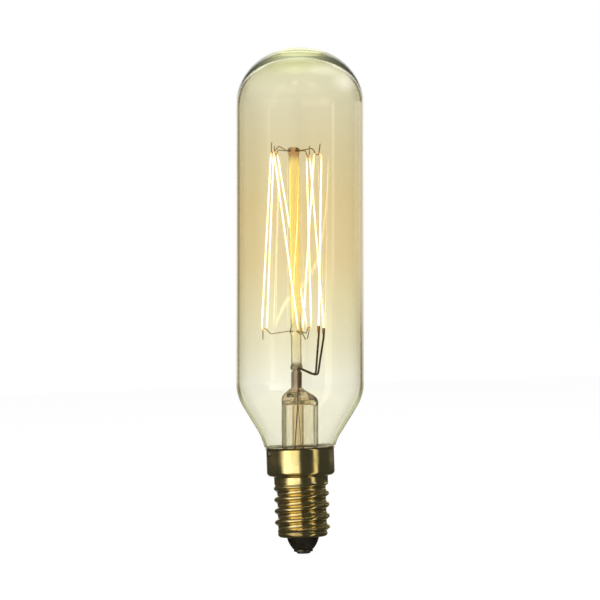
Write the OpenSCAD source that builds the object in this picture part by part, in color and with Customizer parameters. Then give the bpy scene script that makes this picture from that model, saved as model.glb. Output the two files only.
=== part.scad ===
// Tubular filament lamp with a small screw cap, standing cap down. Millimetres, +Z up along the cap.
// The origin is the flat tip of the centre contact. The glass leans slightly on its cap.

/* [Cap] */
// Radius of the plain collar
collar_r = 8.5; // [8.3:0.05:8.9]
// Height of the open rim above the contact
rim_z = 26.6; // [26.3:0.1:27]
// How far the rim lip flares beyond the collar
lip_flare = 0.35; // [0.2:0.05:0.5]
// Height of the flared lip
lip_h = 0.6; // [0.4:0.05:1]
// Height of the step under the collar
step_z = 19.5; // [19.1:0.1:19.5]
// Rounding of the collar's lower corner
step_round = 1.1; // [0.7:0.05:1.1]
// Fillet where the plain band meets the step
band_fillet = 0.35; // [0.2:0.05:0.5]
// Radius of the plain band above the thread
band_r = 6.75; // [6.5:0.05:6.9]
// Thickness of the drawn brass
shell_wall = 0.3; // [0.25:0.01:0.35]
// Radius over the thread crests
thread_crest_r = 6.9; // [6.8:0.05:6.95]
// Radius at the thread roots
thread_root_r = 6.1; // [6.05:0.01:6.25]
// Pitch of the thread
thread_pitch = 2.822; // [2.6:0.002:3]
// Height of one crest on the +X side
crest_z = 12.25; // [11.2:0.05:13.8]
// How narrow the crests are beside the roots
crest_sharpness = 1.25; // [1:0.05:1.6]
// Height of the top end of the rolled part
thread_top_z = 17.7; // [17.3:0.1:18.2]
// Length over which the thread rises from the shell and fades into the band
thread_runout = 1; // [0.8:0.1:1.6]
// Height of the curled bottom edge
curl_z = 4.2; // [4:0.1:4.5]
// Rounding of the curled bottom edge
curl_round = 0.9; // [0.6:0.05:1.1]
// Radius of the bottom opening
mouth_r = 4.15; // [3.9:0.05:4.6]
// Width of the notch in the rim where the side wire comes out
notch_w = 0.5; // [0.4:0.05:0.8]
// Depth of that notch
notch_depth = 1.5; // [1.2:0.1:2]
// Direction of the notch and the side solder round the cap
side_azimuth = 203; // [190:1:250]

/* [Cap fittings] */
// Height of the insulator's top inside the shell
insulator_top_z = 7.4; // [6.5:0.1:9]
// Radius of the insulator where it meets the contact
insulator_tip_r = 2.5; // [2.3:0.05:3]
// Bulge of the insulator's cone beyond a straight one
insulator_bulge = 0.25; // [0:0.05:0.4]
// Radius of the wire hole through the insulator
insulator_hole_r = 0.5; // [0.4:0.05:0.8]
// Radius of the centre contact
contact_r = 2.4; // [2.1:0.05:2.5]
// Thickness of the centre contact
contact_t = 0.6; // [0.4:0.05:0.8]
// Height of the solder drop under the contact
solder_h = 0.5; // [0.4:0.05:0.7]
// Radius of the solder drop where it wets the contact
solder_r = 1.9; // [1.7:0.05:2]
// Radius of the flat on the solder drop
solder_flat_r = 1.2; // [0.8:0.05:1.4]
// Radius of the side solder's ball
side_solder_r = 1.1; // [1:0.05:1.3]
// How far the side solder stands out of the collar
side_solder_h = 0.5; // [0.4:0.05:0.7]
// Height of the cement ring's lower face
cement_bottom_z = 21.5; // [21.3:0.1:22.5]
// Height of the cement ring's upper face
cement_top_z = 25; // [24:0.1:25.3]

/* [Glass bulb] */
// Lean of the glass on its cap, in degrees, towards +X
glass_lean = 1.9; // [0:0.1:2.2]
// Height of the top of the dome
bulb_top_z = 126.6; // [122:0.1:132]
// Outer radius of the tube
bulb_r = 16; // [15:0.1:18]
// Depth of the dome
dome_depth = 14.75; // [13:0.05:17]
// Squareness of the dome's outline, where 2 is an ellipse
dome_fullness = 2.06; // [2:0.02:2.4]
// The same on the inside
bore_fullness = 2.1; // [2:0.02:2.4]
// Thickness of the tube wall
bulb_wall = 0.8; // [0.6:0.05:0.9]
// Thickness at the top of the dome
apex_wall = 2; // [1:0.1:2.1]
// Slope of the taper between shoulder and throat, in degrees from upright
taper_slope = 31.5; // [29:0.5:33]
// Radius of the shoulder's curve
shoulder_r = 12; // [8:0.1:14]
// Height where the throat's curve would stand upright
throat_z = 24; // [23:0.1:24.5]
// Radius of the throat's curve
throat_curve_r = 12.5; // [10:0.1:14]
// Radius that the throat's curve tends to
throat_r = 8.6; // [8.4:0.05:8.8]
// Height where the throat turns in to the neck
heel_z = 27.5; // [27.1:0.1:28]
// Radius of that turn
heel_r = 0.9; // [0.85:0.05:1.2]
// Radius of the neck inside the collar
neck_r = 7.4; // [7:0.05:7.5]
// Height of the neck's upper end
neck_top_z = 25.9; // [25.5:0.1:26]
// Rounding between heel and neck
neck_round = 0.6; // [0.4:0.05:0.8]
// Height of the neck's lower end, where the flare is sealed on
neck_end_z = 21.1; // [21:0.05:21.4]

/* [Stem] */
// Outer radius of the stem tube
stem_r = 4.6; // [4.2:0.1:5]
// Wall of the stem tube and its flare
stem_wall = 0.8; // [0.6:0.05:1]
// Radius of the flare's curve
flare_r = 2; // [1.5:0.1:2.5]
// Height where the dome of the stem begins
stem_dome_z = 37.6; // [36:0.1:38.5]
// Height where the dome has drawn in to the press
press_foot_z = 41.8; // [41.2:0.1:43]
// Height of the press's top
press_top_z = 45.9; // [45:0.1:48]
// Half the thickness of the press
press_half_t = 1.4; // [1.2:0.05:1.6]
// Half the width of the press
press_half_w = 3.8; // [3.4:0.1:4.4]
// How far the press stands off the tube's axis, towards -X
press_offset = 0.87; // [0.5:0.01:1.1]
// Height of the ceiling inside the stem
ceiling_z = 38.3; // [38:0.1:39]
// Rounding at the edge of that ceiling
ceiling_round = 1.5; // [1:0.1:1.7]
// Radius of the blow hole
blow_hole_r = 0.65; // [0.5:0.05:0.75]
// Height of the blow hole
blow_hole_z = 39.5; // [39.3:0.1:39.8]
// Direction of the blow hole
blow_hole_azimuth = 235; // [225:1:238]
// Outer radius of the exhaust tube
exhaust_r = 1.5; // [1.3:0.05:1.6]
// Wall of the exhaust tube
exhaust_wall = 0.5; // [0.4:0.05:0.6]
// Height of the exhaust tube's sealed end
exhaust_end_z = 13; // [11:0.5:17]
// Radius of the arbor rod
rod_r = 1.3; // [1.1:0.05:1.5]
// Lean of the arbor rod from the tube's axis, in degrees, towards -X
rod_lean = 0.75; // [0:0.05:1]
// Length of the arbor rod
rod_length = 55.7; // [50:0.5:60]
// Radius of the swellings that hold the anchors
bead_r = 1.6; // [1.55:0.05:1.8]
// Height of each swelling
bead_h = 2.2; // [2:0.1:3]
// Depth of the top anchors' roots below the rod's top
top_root_drop = 0.9; // [0.8:0.05:1.2]
// Radius of the rod's melted foot on the press
foot_r = 1.55; // [1.4:0.05:1.65]
// Height of that foot
foot_h = 1.6; // [1.2:0.1:2.2]
// Height of the bottom anchors' roots above the press
bottom_root_h = 9.7; // [8:0.1:14]

/* [Wires] */
// Radius of the lead posts
post_r = 0.26; // [0.2:0.01:0.3]
// Distance of each lead from the middle plane
lead_spread = 2.2; // [2:0.05:2.4]
// Distance of the leads from the press's middle, towards +X
lead_shift = 0.37; // [0.2:0.01:0.5]
// Radius of the seal wires in the press
seal_wire_r = 0.2; // [0.15:0.01:0.22]
// Length of the seal wires
seal_length = 3.8; // [3:0.1:3.9]
// Radius of the tail wires
tail_r = 0.15; // [0.12:0.01:0.18]
// Depth of each joint between post and seal wire under the press's top
joint_depth = 0.5; // [0.4:0.05:0.8]
// Length of the crimp that grips a filament end
crimp_h = 1.6; // [1.2:0.1:2]
// Thickness of the crimp's wall
crimp_wall = 0.16; // [0.12:0.01:0.2]
// Heights of the left and right crimps' tops above the press
crimp_top_h = [11, 10.4]; // [9:0.1:11.5]
// Distance of the left and right crimps from the press's middle, towards +X
crimp_out = [5.65, 6.95]; // [5:0.05:7.5]
// Distance of the left and right crimps from the middle plane
crimp_spread = [3.2, 2.5]; // [2.3:0.05:3.5]
// Distance of the left and right posts' bends from the press's middle, towards +X
knee_out = [4.8, 5.4]; // [4.5:0.05:5.5]
// Distance of those bends from the middle plane
knee_spread = [2.7, 2.3]; // [2.2:0.05:3]
// Drop of those bends below the press's top
knee_drop = [0.95, 1.2]; // [0.6:0.05:1.6]
// Rise of the posts out of the press before they arch over
arch_rise = 0.65; // [0.5:0.05:1]
// Radius of the anchor wires
anchor_r = 0.13; // [0.1:0.01:0.14]
// Width of the hooks' bottoms, on the wire's centre line
hook_w = 0.72; // [0.7:0.02:0.9]
// Directions of the top anchors round the rod
top_azimuth = [212, 136, 57, 322]; // [0:1:360]
// Reach of the top hooks from the rod's axis
top_reach = [6.2, 6.4, 6.7, 7.5]; // [5:0.1:9]
// Rise of the top anchors' knees above their roots
top_knee_rise = [1.1, 0.4, 0.1, 0.4]; // [0:0.1:1.5]
// Distance from each top hook back to its knee
top_knee_back = [1.9, 1, 1.3, 1.6]; // [0.8:0.1:2.2]
// Drop of the top hooks below their roots
top_hook_drop = [0.4, 0.6, 1.3, 1.2]; // [0.3:0.1:2]
// Height of the top anchors' free ends above their roots
top_tip_rise = [2, 1.4, 1.4, 1.4]; // [0.8:0.1:2.5]
// Distance of those free ends beyond their hooks
top_tip_out = [-0.2, 0, 0.4, 0.5]; // [-0.3:0.05:1]
// Directions of the bottom anchors round the rod
bottom_azimuth = [178, 279, 63]; // [0:1:360]
// Reach of the bottom hooks from the rod's axis
bottom_reach = [7.9, 7.1, 7.2]; // [5:0.1:9]
// Distance from each bottom hook back to its knee
bottom_knee_back = 1.6; // [1:0.1:2.2]
// Drop of the bottom anchors' knees below their roots
bottom_knee_drop = 0.6; // [0:0.1:1.5]
// Rise of the bottom hooks above their roots
bottom_hook_rise = [0.7, 0.4, 0.9]; // [0.2:0.1:2]
// Drop of the bottom anchors' free ends below their roots
bottom_tip_drop = 2; // [0.8:0.1:2.5]
// Distance of those free ends beyond their hooks
bottom_tip_out = 0.05; // [0.05:0.05:1]
// Sideways swing of the bottom anchors' free ends, in degrees
bottom_tip_swing = [1, 9, 5]; // [-15:1:15]

/* [Filament] */
// Radius of the filament
filament_r = 0.17; // [0.1:0.01:0.18]
// Width of the filament's turns over the top hooks
top_turn_w = [1.5, 1.5, 1, 2.1]; // [1:0.1:2.4]
// Skew of those turns from square to their hooks, in degrees
top_turn_skew = [0, 0, 0, -27]; // [-45:1:45]
// Width of the filament's turns under the bottom hooks
bottom_turn_w = [2.1, 1.2, 1.3]; // [1:0.1:2.4]
// Skew of those turns from square to their hooks, in degrees
bottom_turn_skew = [-34, 0, 0]; // [-45:1:45]

/* [Hidden] */
$fn = 64;

// Clearances: parts that slide over each other, wires in their glass, and joints in the thread
seat_gap = 0.05;
wire_gap = 0.02;
solder_gap = 0.02;
tuck = 0.03;
lap = 0.15;
eps = 0.01;

collar_bore_r = collar_r - shell_wall;
lip_r = collar_r + lip_flare;
curl_top_z = curl_z + curl_round;
thread_depth = thread_crest_r - thread_root_r;
thread_sides = 36;
rings_per_pitch = 10;
insulator_r = thread_root_r - shell_wall - seat_gap * 2;
contact_z = solder_h;
insulator_z = contact_z + contact_t;
flare_z = neck_end_z + flare_r;
stem_bore_r = stem_r - stem_wall;
seal_foot_z = press_top_z - joint_depth - seal_length;
exhaust_x = lead_shift - press_offset;
top_root_h = rod_length - top_root_drop;
hook_gap = anchor_r + filament_r + seat_gap;
anchor_foot = 0.55;
knee_w = 0.9;
knee_tilt = 0.07;
post_bend = 0.45;
crimp_base = 0.2;
crimp_lead = 0.6;
crimp_bore_r = filament_r + 0.03;
crimp_r = crimp_bore_r + crimp_wall;
tail_bow = [0.9, 1.7];
tail_mid = [[1.3, 1.9, 17], [0.3, 0.6, 10]];

brass = [0.66, 0.53, 0.27];
vitrite = [0.08, 0.08, 0.09];
solder_grey = [0.62, 0.62, 0.60];
amber_glass = [0.86, 0.78, 0.56, 0.35];
clear_glass = [0.90, 0.88, 0.78, 0.5];
nickel = [0.36, 0.31, 0.22];
copper = [0.60, 0.33, 0.16];
glow = [1.0, 0.93, 0.62];

// Points on an arc about a centre in the radius and height plane, from one angle to another
function arc(centre, r, from, to, steps = 6) =
    [for (i = [0 : steps]) let (a = from + (to - from) * i / steps) centre + r * [cos(a), sin(a)]];

function smooth(t) = let (c = min(max(t, 0), 1)) c * c * (3 - 2 * c);
function mix(a, b, t) = a + (b - a) * t;
function unit(v) = v / norm(v);

// A point given by direction, distance and height round an axis
function polar(azimuth, reach, height) = [reach * cos(azimuth), reach * sin(azimuth), height];

// A point of the leaning glass, in the cap's own frame
function leaned(p) = let (up = p.z - rim_z) [
    p.x * cos(glass_lean) + up * sin(glass_lean),
    p.y,
    rim_z + up * cos(glass_lean) - p.x * sin(glass_lean)
];

// Places what is drawn about the glass's own axis
module in_glass() {
    translate([0, 0, rim_z]) rotate([0, glass_lean, 0]) translate([0, 0, -rim_z]) children();
}

// Places what is drawn about the arbor rod's axis, from the press's top up
module on_press() {
    in_glass() translate([-press_offset, 0, press_top_z]) rotate([0, -rod_lean, 0]) children();
}

// A wire path with each inner corner rounded off
function eased(path, cut, steps = 4) = [
    path[0],
    for (i = [1 : len(path) - 2])
        each bend(path[i - 1], path[i], path[i + 1], cut, steps),
    path[len(path) - 1]
];
function bend(a, b, c, cut, steps) = let (
    start = b + unit(a - b) * min(cut, norm(a - b) * 0.45),
    finish = b + unit(c - b) * min(cut, norm(c - b) * 0.45)
) [for (k = [0 : steps]) let (t = k / steps) mix(mix(start, b, t), mix(b, finish, t), t)];

// Directions along a path, and across it without twist
function headings(path) = [
    for (i = [0 : len(path) - 1])
        unit(path[min(i + 1, len(path) - 1)] - path[max(i - 1, 0)])
];
function sides_of(along, i = 0, last = [0.31, 0.87, 0.38]) =
    let (side = unit(last - (last * along[i]) * along[i]))
    i == len(along) - 1 ? [side] : concat([side], sides_of(along, i + 1, side));

// A round wire along a path, one solid of flat facets
module wire(path, r, sides = 8) {
    along = headings(path);
    across = sides_of(along);
    rings = len(path);
    points = [
        for (i = [0 : rings - 1]) let (u = across[i], v = cross(along[i], across[i]))
            for (k = [0 : sides - 1]) let (a = 360 * k / sides) path[i] + r * (cos(a) * u + sin(a) * v)
    ];
    polyhedron(points, tube_faces(rings, sides));
}

// Faces of a closed tube of rings, with a fan at each end
function tube_faces(rings, sides) = concat(
    [for (i = [0 : rings - 2], k = [0 : sides - 1]) let (n = (k + 1) % sides)
        [i * sides + k, (i + 1) * sides + n, i * sides + n]],
    [for (i = [0 : rings - 2], k = [0 : sides - 1]) let (n = (k + 1) % sides)
        [i * sides + k, (i + 1) * sides + k, (i + 1) * sides + n]],
    [for (k = [1 : sides - 2]) [0, k, k + 1]],
    [for (k = [1 : sides - 2]) let (base = (rings - 1) * sides) [base, base + k + 1, base + k]]
);

// The rolled thread: one surface outside, the same surface a wall's thickness inside
function ridge(azimuth, z) =
    pow(0.5 + 0.5 * cos(360 * (z - crest_z) / thread_pitch - azimuth), crest_sharpness);
function fade_in(z) = smooth((z - curl_top_z) / thread_runout);
function fade_out(z) = smooth((thread_top_z - z) / thread_runout);
function thread_r(azimuth, z) =
    mix(band_r, thread_root_r, fade_out(z)) - tuck
    + thread_depth * ridge(azimuth, z) * min(fade_in(z), fade_out(z));

module rolled_thread() {
    low = curl_top_z - lap;
    high = thread_top_z + lap;
    rings = ceil((high - low) / thread_pitch * rings_per_pitch);
    sheet = (rings + 1) * thread_sides;
    wall = shell_wall - 2 * tuck;
    points = [
        for (side = [0, 1], i = [0 : rings], k = [0 : thread_sides - 1]) let (
            z = mix(low, high, i / rings),
            a = 360 * k / thread_sides,
            r = thread_r(a, z) - side * wall
        ) polar(a, r, z)
    ];
    faces = concat(
        [for (i = [0 : rings - 1], k = [0 : thread_sides - 1], half = [0, 1]) let (
            a = i * thread_sides + k,
            b = i * thread_sides + (k + 1) % thread_sides,
            c = a + thread_sides,
            d = b + thread_sides
        ) half == 0 ? [a, c, b] : [b, c, d]],
        [for (i = [0 : rings - 1], k = [0 : thread_sides - 1], half = [0, 1]) let (
            a = sheet + i * thread_sides + k,
            b = sheet + i * thread_sides + (k + 1) % thread_sides,
            c = a + thread_sides,
            d = b + thread_sides
        ) half == 0 ? [a, b, c] : [b, d, c]],
        [for (k = [0 : thread_sides - 1], half = [0, 1]) let (n = (k + 1) % thread_sides)
            half == 0 ? [k, n, sheet + k] : [n, sheet + n, sheet + k]],
        [for (k = [0 : thread_sides - 1], half = [0, 1]) let (
            n = (k + 1) % thread_sides,
            a = rings * thread_sides
        ) half == 0 ? [a + k, sheet + a + k, a + n] : [a + n, sheet + a + k, sheet + a + n]]
    );
    polyhedron(points, faces);
}

// Outline of the collar from the band up to the rim, on one face of the brass
function collar_side(inward) = concat(
    [[band_r - inward, thread_top_z]],
    arc([band_r + band_fillet, step_z - band_fillet], band_fillet + inward, 180, 90),
    arc([collar_r - step_round, step_z + step_round], step_round - inward, -90, 0),
    [[collar_r - inward, rim_z - lip_h], [lip_r - inward, rim_z]]
);

module collar_ring() {
    inside = collar_side(shell_wall);
    rotate_extrude() polygon(concat(collar_side(0), [for (i = [len(inside) - 1 : -1 : 0]) inside[i]]));
}

module curl_ring() {
    centre = [thread_root_r - curl_round, curl_top_z];
    rotate_extrude() polygon(concat(
        [[mouth_r, curl_z]],
        arc(centre, curl_round, -90, 0),
        [[thread_root_r, curl_top_z + lap], [thread_root_r - shell_wall, curl_top_z + lap]],
        arc(centre, curl_round - shell_wall, 0, -90),
        [[mouth_r, curl_z + shell_wall]]
    ));
}

module cap_shell() {
    color(brass) {
        difference() {
            collar_ring();
            rotate([0, 0, side_azimuth])
                translate([collar_bore_r - 1, -notch_w / 2, rim_z - notch_depth])
                    cube([3, notch_w, notch_depth + 1]);
        }
        rolled_thread();
        curl_ring();
    }
}

// The insulator fills the bottom of the shell and draws in, slightly bulged, to the contact
module cap_insulator() {
    waist_r = mouth_r - seat_gap * 2;
    inner_round = curl_round - shell_wall - seat_gap;
    centre = [insulator_r - inner_round, curl_top_z];
    color(vitrite) difference() {
        rotate_extrude() polygon(concat(
            [[0, insulator_z], [insulator_tip_r, insulator_z]],
            [for (i = [1 : 5]) let (t = i / 6) [
                mix(insulator_tip_r, waist_r, t) + insulator_bulge * sin(180 * t),
                mix(insulator_z, curl_z - eps, t)
            ]],
            [[waist_r, curl_z], [waist_r, curl_top_z - inner_round]],
            arc(centre, inner_round, -90, 0),
            [[insulator_r, insulator_top_z], [0, insulator_top_z]]
        ));
        translate([0, 0, insulator_z - 1]) cylinder(r = insulator_hole_r, h = insulator_top_z);
    }
}

module centre_contact() {
    rim = contact_t * 0.4;
    color(brass) difference() {
        rotate_extrude() polygon(concat(
            [[0, contact_z]],
            arc([contact_r - rim, contact_z + rim], rim, -90, 0, 4),
            [[contact_r, contact_z + contact_t], [0, contact_z + contact_t]]
        ));
        translate([0, 0, contact_z - 1]) cylinder(r = insulator_hole_r, h = contact_t + 2);
    }
}

module centre_solder() {
    color(solder_grey) rotate_extrude() polygon(concat(
        [[0, 0], [solder_flat_r, 0]],
        [for (i = [1 : 5]) let (t = i / 6) [
            mix(solder_flat_r, solder_r, sin(90 * t)), solder_h * (1 - cos(90 * t))
        ]],
        [[solder_r, solder_h], [0, solder_h]]
    ));
}

module side_solder() {
    outside = collar_side(-solder_gap);
    color(solder_grey) difference() {
        rotate([0, 0, side_azimuth])
            translate([collar_r + side_solder_h - side_solder_r, 0, rim_z - notch_depth + post_r])
                sphere(r = side_solder_r, $fn = 200);
        rotate_extrude($fn = 200) polygon(concat([[0, thread_top_z]], outside, [[0, rim_z]]));
    }
}

// A ring that takes up the wedge of space between the upright collar and the leaning neck
module basing_cement() {
    height = cement_top_z - cement_bottom_z;
    color([0.80, 0.76, 0.66]) difference() {
        translate([0, 0, cement_bottom_z]) cylinder(r = collar_bore_r - seat_gap, h = height);
        in_glass() translate([0, 0, neck_end_z - 2])
            cylinder(r = neck_r + seat_gap, h = rim_z - neck_end_z + 4);
        rotate([0, 0, side_azimuth])
            translate([neck_r - 1, -notch_w / 2, cement_bottom_z - 1])
                cube([collar_r - neck_r + 1, notch_w, height + 2]);
    }
}

// Half of the dome's outline, from the tube's side up to the axis: an ellipse, slightly squared
function dome_side(side_r, depth, fullness, steps = 19) = [
    for (i = [0 : steps]) let (a = 90 * i / steps) [
        side_r * pow(cos(a), 2 / fullness),
        bulb_top_z - dome_depth + depth * pow(sin(a), 2 / fullness)
    ]
];

// Outline of the glass from the neck's end up to the tube, on one face of the wall
function lower_side(inward) = let (
    throat = [throat_r + throat_curve_r, throat_z],
    radii = shoulder_r + throat_curve_r,
    across = bulb_r - shoulder_r - throat.x,
    run = (across + radii * cos(taper_slope)) / sin(taper_slope),
    shoulder = throat + [across, radii * sin(taper_slope) + run * cos(taper_slope)],
    heel_turn = asin((heel_z - throat_z) / throat_curve_r),
    heel_touch = throat + throat_curve_r * [-cos(heel_turn), sin(heel_turn)],
    heel = heel_touch - heel_r * [cos(heel_turn), -sin(heel_turn)],
    neck = [neck_r + neck_round, neck_top_z]
) concat(
    [[neck_r - inward, neck_end_z]],
    arc(neck, neck_round + inward, 180, 100, 5),
    arc(heel, heel_r - inward, -80, -heel_turn, 5),
    arc(throat, throat_curve_r + inward, 180 - heel_turn, 180 - taper_slope, 5),
    arc(shoulder, shoulder_r - inward, -taper_slope, 0, 7)
);

module glass_envelope() {
    outside = concat(lower_side(0), dome_side(bulb_r, dome_depth, dome_fullness));
    inside = concat(
        lower_side(bulb_wall),
        dome_side(bulb_r - bulb_wall, dome_depth - apex_wall, bore_fullness)
    );
    color(amber_glass) in_glass()
        rotate_extrude() polygon(concat(outside, [for (i = [len(inside) - 1 : -1 : 0]) inside[i]]));
}

// Outline of the press and dome at one height: a round tube that flattens upward
function stem_section(z, sides) = let (
    t = (z - stem_dome_z) / (press_foot_z - stem_dome_z),
    drawn = smooth(pow(max(t, 0), 1.6)),
    top = smooth((z - press_top_z + 0.8) / 0.8),
    half_t = mix(stem_r - lap / 2, press_half_t, drawn) * (1 - 0.25 * top * top),
    half_w = mix(stem_r - lap / 2, press_half_w, smooth(t)) * (1 - 0.08 * top * top),
    square = mix(1, 0.6, drawn)
) [for (k = [0 : sides - 1]) let (a = 360 * k / sides, c = cos(a), s = sin(a)) [
    half_t * sign(c) * pow(abs(c), square) - press_offset * smooth(t),
    half_w * sign(s) * pow(abs(s), square),
    z
]];

module stem_head() {
    sides = 32;
    low = stem_dome_z - 1;
    heights = concat(
        [for (i = [0 : 12]) mix(low, press_foot_z, i / 12)],
        [mix(press_foot_z, press_top_z, 0.5)],
        [for (i = [0 : 4]) mix(press_top_z - 0.8, press_top_z, i / 4)]
    );
    points = [for (z = heights) each stem_section(z, sides)];
    polyhedron(points, tube_faces(len(heights), sides));
}

module stem_tube() {
    lip_z = neck_end_z - stem_wall;
    flare = [stem_r + flare_r, flare_z];
    lead_x = lead_shift - press_offset;
    color(clear_glass) in_glass() difference() {
        union() {
            rotate_extrude() polygon(concat(
                arc(flare, flare_r, 180, 270),
                [[neck_r, neck_end_z], [neck_r, lip_z]],
                arc(flare, flare_r + stem_wall, 270, 180),
                [[stem_bore_r, stem_dome_z - 1 + lap], [stem_r, stem_dome_z - 1 + lap]]
            ));
            stem_head();
        }
        rotate_extrude() polygon(concat(
            [[0, flare_z], [stem_bore_r, flare_z]],
            arc([stem_bore_r - ceiling_round, ceiling_z - ceiling_round], ceiling_round, 0, 90),
            [[0, ceiling_z]]
        ));
        for (side = [-1, 1])
            translate([lead_x, side * lead_spread, ceiling_z - 1])
                cylinder(r = post_r + wire_gap, h = press_top_z - ceiling_z + 2);
        translate([exhaust_x, 0, ceiling_z - 1]) cylinder(r = blow_hole_r, h = blow_hole_z - ceiling_z + 1);
        translate([exhaust_x, 0, blow_hole_z])
            rotate([0, 0, blow_hole_azimuth]) rotate([0, 90, 0]) cylinder(r = blow_hole_r, h = stem_r + 1);
    }
}

// The pumping tube, open at the ceiling of the stem and melted shut at its lower end
module exhaust_tube() {
    bore_r = exhaust_r - exhaust_wall;
    tip_z = exhaust_end_z + exhaust_r;
    color(clear_glass) in_glass() translate([exhaust_x, 0, 0]) rotate_extrude() polygon(concat(
        arc([0, tip_z], exhaust_r, -90, 0, 8),
        [[exhaust_r, ceiling_z], [bore_r, ceiling_z]],
        arc([0, tip_z + exhaust_wall], bore_r, 0, -90, 8)
    ));
}

// Outline of a swelling on the rod
function bead_side(height) = [
    for (i = [0 : 8]) let (t = i / 8)
        [mix(rod_r, bead_r, sin(180 * t)), height + bead_h * (t - 0.5)]
];

module arbor_rod() {
    color(clear_glass) on_press() difference() {
        rotate_extrude() polygon(concat(
            [[0, 0]],
            [for (i = [1 : 8]) let (t = i / 8) [mix(rod_r, foot_r, sin(180 * t)), foot_h * (t - 0.1)]],
            bead_side(bottom_root_h),
            [for (p = bead_side(top_root_h)) if (p.y < top_root_h) p],
            arc([bead_r - top_root_drop, top_root_h], top_root_drop, 0, 90, 8),
            [[0, rod_length]]
        ));
        for (azimuth = top_azimuth) anchor_bore(azimuth, top_root_h);
        for (azimuth = bottom_azimuth) anchor_bore(azimuth, bottom_root_h);
    }
}

module anchor_bore(azimuth, height) {
    translate([0, 0, height]) rotate([0, 0, azimuth]) translate([anchor_foot - wire_gap, 0, 0])
        rotate([0, 90, 0]) cylinder(r = anchor_r + wire_gap, h = bead_r + 1);
}

// The wires sealed in the press, between the posts above and the tails below
module seal_wire(side) {
    color(copper) in_glass()
        translate([lead_shift - press_offset, side * lead_spread, seal_foot_z])
            cylinder(r = seal_wire_r, h = seal_length - wire_gap);
}

module seal_wire_left() {
    seal_wire(-1);
}

module seal_wire_right() {
    seal_wire(1);
}

// Feet of the two filament crimps, from the middle of the press's top: 0 is left, 1 is right
function crimp_foot(i) = [crimp_out[i], (2 * i - 1) * crimp_spread[i], crimp_top_h[i] - crimp_h];

// A lead leaves the press, arches over its edge, dips beside it and runs up to its crimp
module lead_post(i) {
    crimp = crimp_foot(i);
    foot = [lead_shift, (2 * i - 1) * lead_spread, -joint_depth];
    knee = [knee_out[i], (2 * i - 1) * knee_spread[i], -knee_drop[i]];
    path = [
        foot,
        foot + [0, 0, joint_depth + arch_rise],
        knee - [knee_w, 0, knee_tilt],
        knee + [0, 0, knee_tilt],
        mix(knee, crimp, 0.37),
        crimp - [0, 0, crimp_lead],
        crimp + [0, 0, crimp_base / 2]
    ];
    color(nickel) on_press() {
        wire(eased(path, post_bend), post_r);
        translate(crimp) difference() {
            cylinder(r = crimp_r, h = crimp_h);
            translate([0, 0, crimp_base]) cylinder(r = crimp_bore_r, h = crimp_h);
        }
    }
}

module lead_post_left() {
    lead_post(0);
}

module lead_post_right() {
    lead_post(1);
}

// The upper end of a tail, in the press under its seal wire, and its way down the stem
function tail_start(side, shift) = [
    for (z = [seal_foot_z - wire_gap, ceiling_z - 0.5]) leaned([exhaust_x, side * lead_spread, z]),
    leaned([exhaust_x + shift, side * lead_spread, flare_z + 1])
];

// From the press, under the flare and up between neck and collar to the notch in the rim
module tail_wire_side() {
    under_z = (step_z + shell_wall + neck_end_z - stem_wall) / 2;
    gap_r = collar_bore_r - tail_r - seat_gap * 4;
    path = concat(tail_start(-1, -tail_bow[0]), [
        polar(side_azimuth + 20, stem_bore_r - 0.6, under_z),
        polar(side_azimuth, gap_r, under_z),
        polar(side_azimuth, gap_r, rim_z - notch_depth + tail_r + 0.1),
        polar(side_azimuth, collar_r - seat_gap, rim_z - notch_depth + tail_r + 0.15)
    ]);
    color(copper) wire(eased(path, 0.35), tail_r, 6);
}

// From the press straight down beside the exhaust tube and through the insulator to the solder
module tail_wire_centre() {
    path = concat(tail_start(1, tail_bow[1]), tail_mid, [
        [0, 0, insulator_top_z + 0.5],
        [0, 0, solder_h + seat_gap]
    ]);
    color(copper) wire(eased(path, 0.8), tail_r, 6);
}

// Top anchors rise a little, then dip to the hook and turn up. Bottom ones do the same upside down.
function top_anchor_path(i) = [
    polar(top_azimuth[i], anchor_foot, top_root_h),
    polar(top_azimuth[i], bead_r + 0.4, top_root_h),
    polar(top_azimuth[i], top_reach[i] - top_knee_back[i], top_root_h + top_knee_rise[i]),
    polar(top_azimuth[i], top_reach[i] - hook_w / 2, top_root_h - top_hook_drop[i]),
    polar(top_azimuth[i], top_reach[i] + hook_w / 2, top_root_h - top_hook_drop[i]),
    polar(top_azimuth[i], top_reach[i] + hook_w / 2 + top_tip_out[i], top_root_h + top_tip_rise[i])
];

function bottom_anchor_path(i) = [
    polar(bottom_azimuth[i], anchor_foot, bottom_root_h),
    polar(bottom_azimuth[i], bead_r + 0.4, bottom_root_h),
    polar(bottom_azimuth[i], bottom_reach[i] - bottom_knee_back, bottom_root_h - bottom_knee_drop),
    polar(bottom_azimuth[i], bottom_reach[i] - hook_w / 2, bottom_root_h + bottom_hook_rise[i]),
    polar(bottom_azimuth[i], bottom_reach[i] + hook_w / 2, bottom_root_h + bottom_hook_rise[i]),
    polar(
        bottom_azimuth[i] + bottom_tip_swing[i],
        bottom_reach[i] + hook_w / 2 + bottom_tip_out,
        bottom_root_h - bottom_tip_drop
    )
];

module anchor(path) {
    color(nickel) on_press() wire(eased(path, hook_w / 3, 3), anchor_r, 6);
}

module top_anchor_1() {
    anchor(top_anchor_path(0));
}

module top_anchor_2() {
    anchor(top_anchor_path(1));
}

module top_anchor_3() {
    anchor(top_anchor_path(2));
}

module top_anchor_4() {
    anchor(top_anchor_path(3));
}

module bottom_anchor_1() {
    anchor(bottom_anchor_path(0));
}

module bottom_anchor_2() {
    anchor(bottom_anchor_path(1));
}

module bottom_anchor_3() {
    anchor(bottom_anchor_path(2));
}

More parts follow.
